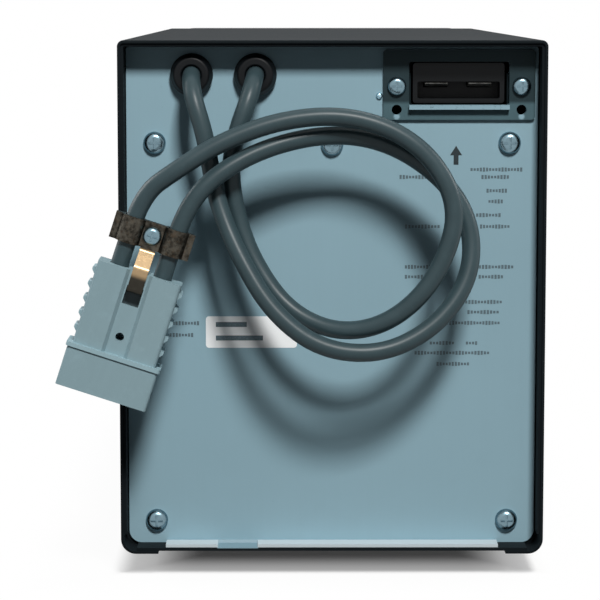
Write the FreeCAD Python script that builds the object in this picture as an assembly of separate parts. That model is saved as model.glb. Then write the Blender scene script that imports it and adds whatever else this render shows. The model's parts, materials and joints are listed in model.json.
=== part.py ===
"""External battery pack of a tower UPS: folded steel casing, sealed 12 V batteries, a socket for
the next pack and two loose leads that end in a two-pole plug.

Millimetres. +Z is up, +Y runs from the rear panel to the front bezel, +X is to the right of
someone who faces the rear panel. The origin is on the floor, under the middle of the casing.
"""
import FreeCAD, Part
import math
import os
from FreeCAD import Placement, Rotation, Vector

os.makedirs("parts", exist_ok=True)

# ---- casing ---------------------------------------------------------------------------------
BODY_WIDTH = 170.0
BODY_HEIGHT = 206.0            # without the feet
BODY_DEPTH = 439.0
FOOT_HEIGHT = 10.0             # floor to the underside of the casing
COVER_SHEET = 1.2
CHASSIS_SHEET = 1.2
PANEL_SHEET = 1.2
COVER_TOP_BEND = 2.5           # outer bend radii of the cover
COVER_BASE_BEND = 6.0
COVER_LIP = 15.0               # the cover's edges turned in under the chassis
HEM_DEPTH = 10.0               # the cover's rear edge folded back on itself
HEM_BASE_GAP = 8.0             # the hem stops this far above the casing's underside
RIM_ROUND = 0.9
PANEL_RECESS = 12.0            # rear rim to rear panel
SHEET_GAP = 0.2                # between sheets that slide past each other
PANEL_GAP = 0.4                # round the rear panel
CHASSIS_TOP_GAP = 11.0         # the chassis walls stop this far below the top
CHASSIS_FRONT_GAP = 3.5        # the chassis stops this far behind the bezel
REAR_FLANGE = 17.0
REAR_FLANGE_ABOVE_SCREW = 8.0
TOP_FLANGE = 10.0
FLOOR_TAIL_GAP = 1.0           # rear rim to the end of the chassis floor
FLOOR_NOSE = 3.0               # the floor in front of the chassis walls

# ---- rear panel -----------------------------------------------------------------------------
PANEL_CORNER = 5.0
PANEL_TOP_FOLD = 10.0
PANEL_FOOT_WIDTH = 134.0       # the fold along the panel's lower edge
PANEL_FOOT_DEPTH = 10.0
FOOT_NOTCH_LEFT = -46.0
FOOT_NOTCH_WIDTH = 16.0
CORNER_SCREW_INSET = 14.0      # from the casing's sides
LOWER_SCREW_RISE = 11.7        # above the casing's underside
UPPER_SCREW_DROP = 41.0        # below the casing's top
CENTRE_SCREW_DROP = 41.7

# ---- screws: shank diameter, head diameter, head height -------------------------------------
PANEL_SCREW = (4.0, 9.0, 2.8)
SMALL_SCREW = (3.0, 6.2, 2.0)
BRACKET_SCREW = (3.5, 7.6, 2.4)
HOLE_CLEARANCE = 0.4           # on the diameter, where a screw passes
THREAD_CLEARANCE = 0.1         # on the diameter, where it is held
PANEL_SCREW_LENGTH = 9.0
COVER_SCREW_LENGTH = 4.0
DOOR_SCREW_LENGTH = 6.0
TOP_SCREW_LENGTH = 5.0
BRACKET_SCREW_LENGTH = 8.0
CLAMP_SCREW_TAIL = 4.0         # beyond the jaws
LOCK_SCREW_TAIL = 1.0          # beyond the cradle
COVER_SCREW_INSET = 5.5        # from the lip's inner edge
COVER_SCREW_FROM_FOOT = 20.0

# ---- front bezel and battery door -----------------------------------------------------------
BEZEL_DEPTH = 30.0
BEZEL_WALL = 2.5
BEZEL_TOP_CORNER = 14.0
BEZEL_EDGE = 4.0
BEZEL_GROOVES = 4
BEZEL_GROOVE_RISE = 24.0       # the lowest groove above the casing's underside
BEZEL_GROOVE_PITCH = 11.0
BEZEL_GROOVE_WIDTH = 3.0
BEZEL_GROOVE_DEPTH = 1.0
HOOK_THICKNESS = 2.0
HOOK_WIDTH = 10.0
HOOK_BARB = 0.9
HOOK_RISES = (40.0, 142.0)     # above the casing's underside
HOOK_REACH = 6.0               # behind the front edge of the chassis
HOOK_SLOT = 5.0                # length of a slot along the casing
DOOR_SHEET = 1.2
DOOR_TAB_WIDTH = 20.0
DOOR_TAB_INSET = 40.0          # from the casing's sides
DOOR_TAB_REST = 0.6            # a tab's end above the underside of the chassis floor
DOOR_TOP_GAP = 2.0
DOOR_MARGIN = 0.8              # beyond the batteries' sides
DOOR_EAR = 20.0                # height of the chassis ears that hold the door
DOOR_RIB = 6.0
DOOR_RIB_RISE = 1.0
DOOR_RIB_FOOT = 30.0           # the ribs' ends from the floor and from the chassis top
DOOR_RIB_HEAD = 45.0

# ---- feet -----------------------------------------------------------------------------------
FOOT_DIAMETER = 22.0
FOOT_NECK = 8.0
FOOT_BARB = 10.0
FOOT_BARB_HEIGHT = 1.8
FOOT_INSET_SIDE = 25.0         # from the casing's sides
FOOT_INSET_END = 69.5          # from its two ends
FOOT_RIM = 4.0                 # width of the ring that touches the floor
FOOT_HOLLOW = 2.0
FOOT_TAPER = 1.5

# ---- batteries ------------------------------------------------------------------------------
BATTERY_GAP = 1.0              # between the two of a module
MODULE_GAP = 3.2               # between the two modules
DIVIDER_GAP = 0.1
BATTERY_LID = 22.0
BATTERY_CORNER = 3.0
SEAM = (0.6, 1.2)              # depth and height of the groove under a lid
VENT_INSET = (24.5, 44.5)      # the vent cover's edges from the lid's edges
VENT_DEPTH = 0.8
TAB_SIDE = 10.0
TAB_RISE = 4.0
TAB_INSET_SIDE = 12.4          # terminal from the battery's outer side
TAB_INSET_END = 12.0
SIDE_ROOM = 3.8                # chassis wall to battery
REAR_ROOM = 24.8               # rear panel to battery
FRONT_ROOM = 4.5               # battery to battery door
HEAD_ROOM = 38.1               # battery to the casing's top
BASE_PAD = 2.5
PAD_GAP = 0.3                  # pad to the wall beside it
PAD_RISE = 15.0                # pads above the batteries' underside
PAD_DROP = 28.0                # and below their top
SIDE_PAD_SETBACK = 10.0
FRONT_PAD_INSET = 5.0
LINK_SHEET = 1.2
LINK_BOLT = (5.0, 8.0, 3.5)    # shank diameter, width across the hexagon, head height
FUSE_WAIST = 8.0               # length of the fuse's narrow stretch
FUSE_BODY_GAP = 1.0            # fuse body to a terminal
FUSE_BODY_RISE = 7.0           # fuse body above and below the terminals' tops
FUSE_BODY_DROP = 3.0
FUSE_BODY_MARGIN = 1.5
HOLD_DOWN_WIDTH = 24.0
HOLD_DOWN_SHEET = 1.5
HOLD_DOWN_LEG_GAP = 2.0        # a bar's leg from the chassis flange
HOLD_DOWN_END_GAP = 0.5
STOP_BELOW_SCREW = 9.0
STOP_ABOVE_SCREW = 4.6
STOP_END_GAP = 3.0             # the battery stop's ends from the chassis flanges

# ---- leads, bushings and junction -----------------------------------------------------------
LEAD_DIAMETER = 7.2
INNER_LEAD = 5.6
LEAD_LEFT_INSET = 29.0         # left lead from the casing's side
LEAD_DROP = 13.8               # both leads below the casing's top
LEAD_PITCH = 25.4
LEAD_CLEARANCE = 0.2           # on the diameter
BUSHING_HEAD = 17.0
BUSHING_RISE = 6.0
BUSHING_NECK = 12.6
BUSHING_TAIL = 8.0             # neck behind the panel
BUSHING_HOLE_GAP = 0.4         # on the diameter
BUSHING_NUT = (14.2, 4.0)      # width across the hexagon, thickness
JUNCTION_SETBACK = 20.0        # rear panel to junction block
JUNCTION_POLE = 12.0           # width and height of a pole
JUNCTION_POLE_LENGTH = 20.0
JUNCTION_SIDE_WALL = 7.3
JUNCTION_END_WALL = 2.0
JUNCTION_FLOOR = 4.0
POLE_GAP = 0.05                # round a pole
INNER_LEAD_GAP = 0.15
BATTERY_LEAD_OUT = 14.0        # straight stretch behind the junction block
BATTERY_LEAD_BACK = 16.0       # straight stretch in front of a terminal
BATTERY_LEAD_BOW = 24.0
SOCKET_LEAD_OUT = 14.0         # straight stretch behind the socket
SOCKET_LEAD_TURN = 12.0
SOCKET_LEAD_BOW = 20.0
SOCKET_LEAD_NEST = 6.5         # one socket lead passes outside the other
SHELF_SHEET = 1.2
SHELF_SCREW_INSET = 6.0        # from the shelf's ends
SHELF_HANG_GAP = 0.5           # the shelf's upright from the chassis flange

# ---- two-pole connector, the same form as plug and as socket ----------------------------------
CONNECTOR_LENGTH = 51.0
CONNECTOR_WIDTH = 36.6
CONNECTOR_THICKNESS = 16.0
HOOD_LENGTH = 17.4             # the wider end round the mating mouth
BODY_STEP = 1.5                # the body is smaller than the hood by this, all round
COLLAR_RISE = 0.7              # the ridge between hood and body
COLLAR_WIDTH = 1.6
POLE_PITCH = 17.5
CHAMBER_GAP = 0.5              # on the diameter, round a lead
CHAMBER_DEPTH = 24.0
LEAD_SEAT = 7.0                # how far a lead enters
MOUTH_DEPTH = 11.0
MOUTH_WALL = 1.8
TONGUE_HEIGHT = 5.6
GRIP_RIBS = 5
GRIP_PITCH = 5.9
GRIP_START = 2.5               # first rib from the rear face
GRIP_RISE = 1.3
GRIP_INSET = 1.6               # the ribs' ends from the body's faces
CHANNEL_WIDTH = 7.6            # at its floor
CHANNEL_MOUTH = 10.4           # at the body's face
CHANNEL_DEPTH = 1.5
SLOT_WIDTH = 6.6               # slot for the clamp's tongue
SLOT_LENGTH = 7.4
SLOT_SETBACK = 6.0
SLOT_FLOOR = 1.5               # the slot stops this far in front of the middle
LOCK_HOLE = 3.4
LOCK_FROM_HOOD = 7.3           # locking hole behind the hood
LOCK_BLIND_WALL = 3.0          # left behind the plug's locking hole
BLADE_WIDTH = 9.0
BLADE_SHEET = 1.6
BLADE_SETBACK = 3.0            # blade tip from the mating end
BLADE_GAP = 0.4                # round a blade
CRIMP_GAP = 0.4                # on the diameter, between a crimp barrel and its chamber

# ---- socket in the panel --------------------------------------------------------------------
SOCKET_INSET = 34.4            # centre of the socket from the casing's right side
SOCKET_DROP = 17.25            # below the casing's top
SOCKET_RECESS = 3.0            # behind the panel
SOCKET_OPENING = (40.0, 17.1)
BRACKET_WIDTH = 60.6
BRACKET_BELOW = 14.5           # bracket edges from the socket's centre
BRACKET_ABOVE = 13.4
BRACKET_SHEET = 1.5
BRACKET_LIP = (40.0, 1.8, 4.0) # width, thickness, how far it stands out
BRACKET_SCREW_PITCH = 49.8
BRACKET_SCREW_DROP = 1.1
RETAINER_HOLE = 4.0
RETAINER_DROP = 10.5
CRADLE_SHEET = 1.2
CRADLE_GAP = 0.2
CRADLE_DEPTH = 40.0
CRADLE_ARM = 12.8              # height of its side walls
EAR_INSET = 1.5                # its ears' ends from the bracket's ends
EAR_RISE = 2.2                 # its ears above its floor
PIN = (1.8, 2.6, 1.2)          # locating pin beside the bracket: shank, head, head height
PIN_OUTSIDE = 1.5              # from the bracket's edge
PIN_DROP = 5.0                 # below the socket's centre
PIN_LENGTH = 3.0

# ---- plug: centre of its rear face and how it hangs -------------------------------------------
PLUG_LEFT = 18.7               # from where the left lead leaves the panel
PLUG_OUT = 34.5
PLUG_DROP = 75.1
PLUG_TILT = 18.0
CLAMP_SETBACK = 14.5           # clamp's middle behind the plug's rear face
CLAMP_WIDTH = 32.0
CLAMP_HEIGHT = 10.5
CLAMP_SHEET = 1.2
CLAMP_SPLIT = 1.0
CLAMP_GRIP_GAP = 0.3           # between a saddle and its lead
TONGUE_GAP = 0.1               # between the tongue and the channel's floor
TONGUE_HOOK = 2.4              # the tongue's end from the slot's near edge
TONGUE_DIP = 2.6               # how far its end dips into the slot
TONGUE_WIDTH = 6.0
CLAMP_SCREW = (3.5, 7.4, 2.2)
CLAMP_NUT = (6.6, 2.8)         # width across the hexagon, thickness

# ---- derived places -------------------------------------------------------------------------
REAR = -BODY_DEPTH / 2
FRONT = BODY_DEPTH / 2
SIDE = BODY_WIDTH / 2
BASE = FOOT_HEIGHT
TOP = BASE + BODY_HEIGHT
PANEL_Y = REAR + PANEL_RECESS
PANEL_BACK = PANEL_Y + PANEL_SHEET
BEZEL_Y = FRONT - BEZEL_DEPTH
CHASSIS_FRONT = BEZEL_Y - CHASSIS_FRONT_GAP
CHASSIS_SIDE = SIDE - COVER_SHEET - SHEET_GAP
CHASSIS_INSIDE = CHASSIS_SIDE - CHASSIS_SHEET
FLOOR_UNDER = BASE + COVER_SHEET
FLOOR_Z = FLOOR_UNDER + CHASSIS_SHEET
CHASSIS_TOP = TOP - CHASSIS_TOP_GAP
HEM_INSIDE = SIDE - 2 * COVER_SHEET
PANEL_SIDE = HEM_INSIDE - PANEL_GAP
PANEL_TOP = TOP - 2 * COVER_SHEET - PANEL_GAP
CORNER_SCREW_X = SIDE - CORNER_SCREW_INSET
DOOR_TAB_X = SIDE - DOOR_TAB_INSET
LOWER_SCREW_Z = BASE + LOWER_SCREW_RISE
UPPER_SCREW_Z = TOP - UPPER_SCREW_DROP
CENTRE_SCREW_Z = TOP - CENTRE_SCREW_DROP
LEAD_Z = TOP - LEAD_DROP
LEFT_LEAD = Vector(-SIDE + LEAD_LEFT_INSET, PANEL_Y, LEAD_Z)
RIGHT_LEAD = LEFT_LEAD + Vector(LEAD_PITCH, 0, 0)
SOCKET_X = SIDE - SOCKET_INSET
SOCKET_Z = TOP - SOCKET_DROP
FOOT_X = SIDE - FOOT_INSET_SIDE
FOOT_Y = FRONT - FOOT_INSET_END
BATTERY_Z = FLOOR_Z + BASE_PAD
BATTERY_TOP = TOP - HEAD_ROOM
TAB_TOP = BATTERY_TOP + TAB_RISE
MODULE_INNER = MODULE_GAP / 2
MODULE_OUTER = CHASSIS_INSIDE - SIDE_ROOM
MODULE_REAR = PANEL_BACK + REAR_ROOM
MODULE_FRONT = CHASSIS_FRONT - FRONT_ROOM
BATTERY = Vector(
    MODULE_OUTER - MODULE_INNER,
    (MODULE_FRONT - MODULE_REAR - BATTERY_GAP) / 2,
    BATTERY_TOP - BATTERY_Z,
)
JUNCTION = Vector(
    LEAD_PITCH + JUNCTION_POLE + 2 * JUNCTION_SIDE_WALL,
    JUNCTION_POLE_LENGTH + 2 * JUNCTION_END_WALL,
    JUNCTION_POLE + 2 * JUNCTION_FLOOR,
)
LOCK_SETBACK = CONNECTOR_LENGTH - HOOD_LENGTH - LOCK_FROM_HOOD
PLUG_PLACE = Placement(
    LEFT_LEAD + Vector(-PLUG_LEFT, -PLUG_OUT, -PLUG_DROP),
    Rotation(Vector(0, 1, 0), PLUG_TILT),
)
SOCKET_PLACE = Placement(
    Vector(SOCKET_X, PANEL_Y + SOCKET_RECESS + CONNECTOR_LENGTH, SOCKET_Z),
    Rotation(Vector(1, 0, 0), -90),
)
PLANES = {
    "xy": lambda a, b: Vector(a, b, 0),
    "xz": lambda a, b: Vector(a, 0, b),
    "yz": lambda a, b: Vector(0, a, b),
}


# ---- shapes ---------------------------------------------------------------------------------
def block(x, y, z):
    """A box between two values on each axis."""
    low, high = (Vector(*[pick(pair) for pair in (x, y, z)]) for pick in (min, max))
    size = high - low
    return Part.makeBox(size.x, size.y, size.z, low)


def rod(start, along, diameter):
    """A round bar from a point, as long as the vector along it."""
    return Part.makeCylinder(diameter / 2, along.Length, start, along)


def profile(corners, plane):
    """A face outlined by (a, b, radius) corners; a corner without a radius is sharp."""
    place = PLANES[plane]
    points = [place(corner[0], corner[1]) for corner in corners]
    radii = [corner[2] if len(corner) > 2 else 0 for corner in corners]
    bends = []
    for i, here in enumerate(points):
        before = (points[i - 1] - here).normalize()
        after = (points[(i + 1) % len(points)] - here).normalize()
        half = before.getAngle(after) / 2
        if radii[i] <= 0:
            bends.append((here, None, here))
            continue
        setback = radii[i] / math.tan(half)
        inward = (before + after).normalize()
        middle = here + inward * (radii[i] / math.sin(half) - radii[i])
        bends.append((here + before * setback, middle, here + after * setback))
    edges = []
    for i, (start, middle, end) in enumerate(bends):
        if middle is not None:
            edges.append(Part.Arc(start, middle, end).toShape())
        following = bends[(i + 1) % len(bends)][0]
        if (following - end).Length > 1e-6:
            edges.append(Part.LineSegment(end, following).toShape())
    return Part.Face(Part.Wire(edges))


def extruded(corners, plane, low, high):
    """The profile's face swept square to its plane, from low to high."""
    normal = {"xy": Vector(0, 0, 1), "xz": Vector(0, 1, 0), "yz": Vector(1, 0, 0)}[plane]
    face = profile(corners, plane)
    face.translate(normal * low)
    return face.extrude(normal * (high - low))


def rectangle(a, b, radius=0.0):
    """Corners of a rectangle between two values each way."""
    (low_a, high_a), (low_b, high_b) = sorted(a), sorted(b)
    corners = [(low_a, low_b), (high_a, low_b), (high_a, high_b), (low_a, high_b)]
    return [(a, b, radius) for a, b in corners]


def turned(corners, start, axis):
    """A revolved piece: (radius, height[, rounding]) corners about an axis from a point."""
    face = profile(corners, "xz")
    solid = face.revolve(Vector(0, 0, 0), Vector(0, 0, 1), 360)
    solid.Placement = Placement(start, Rotation(Vector(0, 0, 1), axis))
    return solid


def joined(shapes):
    """One solid out of shapes that touch."""
    return shapes[0].multiFuse(shapes[1:]).removeSplitter() if len(shapes) > 1 else shapes[0]


def drilled(shape, holes):
    return shape.cut(Part.makeCompound(holes))


def group(shapes):
    return Part.makeCompound(shapes)


def mirrored(shape):
    """The same shape on the other side of the middle plane."""
    return shape.mirror(Vector(0, 0, 0), Vector(1, 0, 0))


def pan_screw(size, length, seat, inward):
    """A pan-head screw with a cross recess; seat is under its head and inward is its direction."""
    shank, head, height = size
    outline = [
        (0, -height), (head / 2, -height, height * 0.9), (head / 2, 0), (shank / 2, 0),
        (shank / 2, length - shank / 4), (shank / 4, length), (0, length),
    ]
    body = turned(outline, seat, inward)
    arm, slit, depth = head * 0.54, head * 0.11, height * 0.55
    cross = [
        block((-a / 2, a / 2), (-b / 2, b / 2), (-height - 1, -height + depth))
        for a, b in ((arm, slit), (slit, arm))
    ]
    for cutter in cross:
        cutter.Placement = Placement(seat, Rotation(Vector(0, 0, 1), inward))
    return drilled(body, cross)


def plain_screw(size, length, seat, inward):
    """A screw where nobody looks, with a plain head."""
    shank, head, height = size
    outline = [
        (0, -height), (head / 2, -height), (head / 2, 0), (shank / 2, 0), (shank / 2, length), (0, length),
    ]
    return turned(outline, seat, inward)


def hexagon(across, radius=0.0):
    """Corners of a hexagon of that width across its flats."""
    reach = across / math.sqrt(3)
    turns = [math.radians(60 * i) for i in range(6)]
    return [(reach * math.cos(turn), reach * math.sin(turn), radius) for turn in turns]


def hex_bolt(size, length, seat, inward):
    shank, across, height = size
    head = extruded(hexagon(across), "xy", -height, 0)
    bolt = joined([head, rod(Vector(0, 0, 0), Vector(0, 0, length), shank)])
    bolt.Placement = Placement(seat, Rotation(Vector(0, 0, 1), inward))
    return bolt


def hole(size, clearance, middle, direction, reach=10.0):
    """A drill for a screw of that size, to both sides of a point."""
    return rod(middle - direction * reach, direction * (2 * reach), size[0] + clearance)


# ---- leads ----------------------------------------------------------------------------------
ARC_SHARE = 0.45               # an arc starts at this share of the shorter run beside its corner

# Corners of each free lead's route, from where it leaves the panel, chosen along its loop.
LEFT_ROUTE = [
    (0.0, 0.0, 0.0), (0.0, -12.0, 0.0), (1.2, -21.0, -8.0), (5.9, -23.5, -22.8), (8.2, -23.0, -36.5),
    (11.8, -26.0, -52.4), (20.1, -33.0, -71.0), (32.2, -39.0, -90.6), (50.5, -42.0, -104.7),
    (73.4, -40.5, -107.3), (93.3, -37.0, -98.7), (107.1, -32.0, -83.2), (111.2, -27.0, -65.7),
    (105.8, -24.5, -47.8), (91.2, -24.0, -33.3), (72.8, -24.5, -24.1), (52.5, -25.0, -22.3),
    (29.1, -28.5, -27.6), (10.1, -33.0, -37.8),
]
RIGHT_ROUTE = [
    (0.0, 0.0, 0.0), (0.0, -12.0, 0.0), (-2.0, -21.0, -8.0), (-7.4, -22.5, -22.8), (-9.8, -20.5, -36.7),
    (-7.5, -19.5, -54.1), (-0.8, -22.0, -72.5), (12.2, -27.0, -90.9), (30.2, -32.5, -99.3),
    (48.5, -36.0, -97.1), (64.7, -37.0, -85.4), (75.1, -36.0, -67.9), (78.6, -34.5, -50.1),
    (70.4, -33.0, -32.8), (54.9, -32.0, -20.4), (34.0, -31.5, -14.6), (10.3, -32.5, -16.5),
    (-12.9, -34.5, -24.9), (-30.2, -36.5, -35.7),
]
# The last corners, behind the plug's rear face: how far back, and how far off the chamber's axis.
PLUG_CORNERS = ((29.0, 0.45), (6.0, 0.0), (-LEAD_SEAT, 0.0))


def lead(name, points, diameter):
    """A round cable along straight runs that tangent arcs join."""
    edges = []
    here = points[0]
    radii = []
    for before, corner, after in zip(points, points[1:], points[2:]):
        to_before, to_after = (before - corner), (after - corner)
        setback = ARC_SHARE * min(to_before.Length, to_after.Length)
        to_before.normalize()
        to_after.normalize()
        half = to_before.getAngle(to_after) / 2
        radius = setback * math.tan(half)
        radii.append(radius)
        entry, leave = corner + to_before * setback, corner + to_after * setback
        middle = corner + (to_before + to_after).normalize() * (setback / math.cos(half) - radius)
        edges.append(Part.LineSegment(here, entry).toShape())
        edges.append(Part.Arc(entry, middle, leave).toShape())
        here = leave
    edges.append(Part.LineSegment(here, points[-1]).toShape())
    path = Part.Wire(edges)
    ring = Part.Wire(Part.makeCircle(diameter / 2, points[0], points[1] - points[0]).Edges)
    tube = path.makePipeShell([ring], True, False)
    share = tube.Volume / (math.pi * diameter**2 / 4 * path.Length)
    print(f"{name}: {path.Length:.1f} long, volume {share:.4f} of section x length, radii",
          " ".join(f"{radius:.1f}" for radius in radii) or "none")
    return tube


def free_route(start, route, side):
    """Route of a free lead, from the panel to its chamber in the plug."""
    ends = [PLUG_PLACE.multVec(Vector(side * POLE_PITCH / 2 + lean, 0, back)) for back, lean in PLUG_CORNERS]
    return [start + Vector(*corner) for corner in route] + ends


# ---- casing ---------------------------------------------------------------------------------
def casing_outline(inset, top_corner, base_corner):
    """The casing's section, moved in by the inset."""
    side, low, high = SIDE - inset, BASE + inset, TOP - inset
    low_bend, high_bend = max(base_corner - inset, 0.3), max(top_corner - inset, 0.3)
    return [(-side, low, low_bend), (side, low, low_bend), (side, high, high_bend), (-side, high, high_bend)]


def foot_places():
    return {
        f"foot_{end}_{side}": Vector(x, y, 0)
        for end, y in (("rear", -FOOT_Y), ("front", FOOT_Y))
        for side, x in (("left", -FOOT_X), ("right", FOOT_X))
    }


def cover_screw_places():
    x = SIDE - COVER_LIP + COVER_SCREW_INSET
    y = FOOT_Y + COVER_SCREW_FROM_FOOT
    return [Vector(sign * x, along, BASE) for sign in (-1, 1) for along in (-y, 0, y)]


def panel_screw_places():
    heights = (LOWER_SCREW_Z, UPPER_SCREW_Z)
    corners = [Vector(sign * CORNER_SCREW_X, PANEL_Y, z) for z in heights for sign in (-1, 1)]
    return corners + [Vector(0, PANEL_Y, CENTRE_SCREW_Z)]


def hook_places():
    return [BASE + rise for rise in HOOK_RISES]


def cover():
    outer = extruded(casing_outline(0, COVER_TOP_BEND, COVER_BASE_BEND), "xz", REAR, BEZEL_Y)
    rim = [edge for edge in outer.Edges if edge.BoundBox.YMax < REAR + 1e-4]
    outer = outer.makeFillet(RIM_ROUND, rim)
    lining = casing_outline(COVER_SHEET, COVER_TOP_BEND, COVER_BASE_BEND)
    inner = extruded(lining, "xz", REAR - 1, BEZEL_Y + 1)
    between_lips = block((-SIDE + COVER_LIP, SIDE - COVER_LIP), (REAR - 1, BEZEL_Y + 1), (BASE - 1, FLOOR_Z))
    folded = casing_outline(2 * COVER_SHEET, COVER_TOP_BEND, COVER_BASE_BEND)
    hem = extruded(lining, "xz", REAR + RIM_ROUND, REAR + HEM_DEPTH)
    hem = hem.cut(extruded(folded, "xz", REAR - 1, FRONT))
    hem = hem.cut(block((-SIDE, SIDE), (REAR - 1, FRONT), (BASE - 1, BASE + HEM_BASE_GAP)))
    shell = joined([outer.cut(inner).cut(between_lips), hem])
    up = Vector(0, 0, 1)
    return drilled(shell, [hole(SMALL_SCREW, HOLE_CLEARANCE, p, up, 3) for p in cover_screw_places()])


def chassis():
    outer, inner = CHASSIS_SIDE, CHASSIS_INSIDE
    bend = COVER_BASE_BEND - COVER_SHEET + SHEET_GAP
    section = [
        (-outer, CHASSIS_TOP), (-outer, FLOOR_UNDER, bend), (outer, FLOOR_UNDER, bend), (outer, CHASSIS_TOP),
        (inner - TOP_FLANGE, CHASSIS_TOP), (inner - TOP_FLANGE, CHASSIS_TOP - CHASSIS_SHEET),
        (inner, CHASSIS_TOP - CHASSIS_SHEET), (inner, FLOOR_Z, bend - CHASSIS_SHEET),
        (-inner, FLOOR_Z, bend - CHASSIS_SHEET), (-inner, CHASSIS_TOP - CHASSIS_SHEET),
        (-inner + TOP_FLANGE, CHASSIS_TOP - CHASSIS_SHEET), (-inner + TOP_FLANGE, CHASSIS_TOP),
    ]
    tray = extruded(section, "xz", PANEL_BACK, CHASSIS_FRONT)
    flat = outer - bend
    tail = block((-flat, flat), (REAR + FLOOR_TAIL_GAP, PANEL_BACK), (FLOOR_UNDER, FLOOR_Z))
    nose = block((-flat, flat), (CHASSIS_FRONT, CHASSIS_FRONT + FLOOR_NOSE), (FLOOR_UNDER, FLOOR_Z))
    flange_x = (inner - REAR_FLANGE, inner + CHASSIS_SHEET / 2)
    flange_z = (FLOOR_Z + bend, UPPER_SCREW_Z + REAR_FLANGE_ABOVE_SCREW)
    flange = block(flange_x, (PANEL_BACK, PANEL_BACK + CHASSIS_SHEET), flange_z)
    ear_z = (CHASSIS_TOP - DOOR_EAR, CHASSIS_TOP)
    ear = block(flange_x, (CHASSIS_FRONT - CHASSIS_SHEET, CHASSIS_FRONT), ear_z)
    body = joined([tray, tail, nose, flange, mirrored(flange), ear, mirrored(ear)])
    up, inward = Vector(0, 0, 1), Vector(0, 1, 0)
    holes = [rod(p, up * (FLOOR_Z + 1), FOOT_NECK + HOLE_CLEARANCE) for p in foot_places().values()]
    holes += [hole(SMALL_SCREW, THREAD_CLEARANCE, p, up, 4) for p in cover_screw_places()]
    holes += [hole(PANEL_SCREW, THREAD_CLEARANCE, p, inward, 5) for p in panel_screw_places()[:4]]
    holes += [hole(SMALL_SCREW, THREAD_CLEARANCE, p, inward, 4) for p in door_screw_places()]
    top_screws = hold_down_screw_places() + shelf_screw_places()
    holes += [hole(SMALL_SCREW, THREAD_CLEARANCE, p, up, 4) for p in top_screws]
    for sign in (-1, 1):
        half = DOOR_TAB_WIDTH / 2 + SHEET_GAP
        tab_x = (sign * DOOR_TAB_X - half, sign * DOOR_TAB_X + half)
        tab_y = (CHASSIS_FRONT - SHEET_GAP, CHASSIS_FRONT + DOOR_SHEET + SHEET_GAP)
        holes.append(block(tab_x, tab_y, (FLOOR_UNDER - 1, FLOOR_Z + 1)))
        for z in hook_places():
            slot_z = (z - HOOK_WIDTH / 2 - SHEET_GAP, z + HOOK_WIDTH / 2 + SHEET_GAP)
            holes.append(block((sign * (inner - 0.5), sign * (outer + 0.5)), hook_slot_y(), slot_z))
    return drilled(body, holes)


def hook_slot_y():
    """The span along the casing of the slots that the bezel's hooks snap into."""
    middle = CHASSIS_FRONT - HOOK_REACH
    return middle - HOOK_SLOT / 2, middle + HOOK_SLOT / 2


def rear_panel():
    sheet = [(-PANEL_SIDE, FLOOR_Z, PANEL_CORNER), (PANEL_SIDE, FLOOR_Z, PANEL_CORNER),
             (PANEL_SIDE, PANEL_TOP, 1.0), (-PANEL_SIDE, PANEL_TOP, 1.0)]
    plate = extruded(sheet, "xz", PANEL_Y, PANEL_BACK)
    half = PANEL_FOOT_WIDTH / 2
    foot_y = (PANEL_Y - PANEL_FOOT_DEPTH, PANEL_BACK)
    foot = block((-half, half), foot_y, (FLOOR_Z, FLOOR_Z + PANEL_SHEET))
    notch_x = (FOOT_NOTCH_LEFT, FOOT_NOTCH_LEFT + FOOT_NOTCH_WIDTH)
    foot = foot.cut(block(notch_x, (foot_y[0] - 1, PANEL_Y - 1), (FLOOR_Z - 1, FLOOR_Z + 2)))
    fold_x = (-PANEL_SIDE + 1, PANEL_SIDE - 1)
    fold = block(fold_x, (PANEL_Y, PANEL_Y + PANEL_TOP_FOLD), (PANEL_TOP - PANEL_SHEET, PANEL_TOP))
    inward = Vector(0, 1, 0)
    holes = [hole(PANEL_SCREW, HOLE_CLEARANCE, p, inward, 5) for p in panel_screw_places()]
    holes += [hole(BRACKET_SCREW, HOLE_CLEARANCE, p, inward, 5) for p in bracket_screw_places()]
    holes += [rod(p - inward * 5, inward * 10, RETAINER_HOLE) for p in retainer_places()]
    neck = BUSHING_NECK + BUSHING_HOLE_GAP
    holes += [rod(place - inward * 5, inward * 10, neck) for place in (LEFT_LEAD, RIGHT_LEAD)]
    holes.append(hole(PIN, THREAD_CLEARANCE, pin_place(), inward, 5))
    holes.append(socket_opening())
    return drilled(joined([plate, foot, fold]), holes)


def door_screw_places():
    z = CHASSIS_TOP - DOOR_EAR / 2
    return [Vector(sign * CORNER_SCREW_X, CHASSIS_FRONT + DOOR_SHEET, z) for sign in (-1, 1)]


def battery_door():
    side = MODULE_OUTER + DOOR_MARGIN
    y = (CHASSIS_FRONT, CHASSIS_FRONT + DOOR_SHEET)
    z = (FLOOR_Z + SHEET_GAP, CHASSIS_TOP - DOOR_TOP_GAP)
    plate = extruded(rectangle((-side, side), z, 2.0), "xz", *y)
    tabs = []
    for middle in (-DOOR_TAB_X, DOOR_TAB_X):
        x = (middle - DOOR_TAB_WIDTH / 2, middle + DOOR_TAB_WIDTH / 2)
        tabs.append(block(x, y, (FLOOR_UNDER - DOOR_TAB_REST, FLOOR_Z + 3)))
    rib_z = (FLOOR_Z + DOOR_RIB_FOOT, CHASSIS_TOP - DOOR_RIB_HEAD)
    ribs = []
    for middle in (-side / 2, 0, side / 2):
        outline = rectangle((middle - DOOR_RIB / 2, middle + DOOR_RIB / 2), rib_z)
        ribs.append(extruded(outline, "xz", y[1], y[1] + DOOR_RIB_RISE))
    door = joined([plate] + tabs + ribs)
    inward = Vector(0, 1, 0)
    return drilled(door, [hole(SMALL_SCREW, HOLE_CLEARANCE, p, inward, 4) for p in door_screw_places()])


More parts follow.
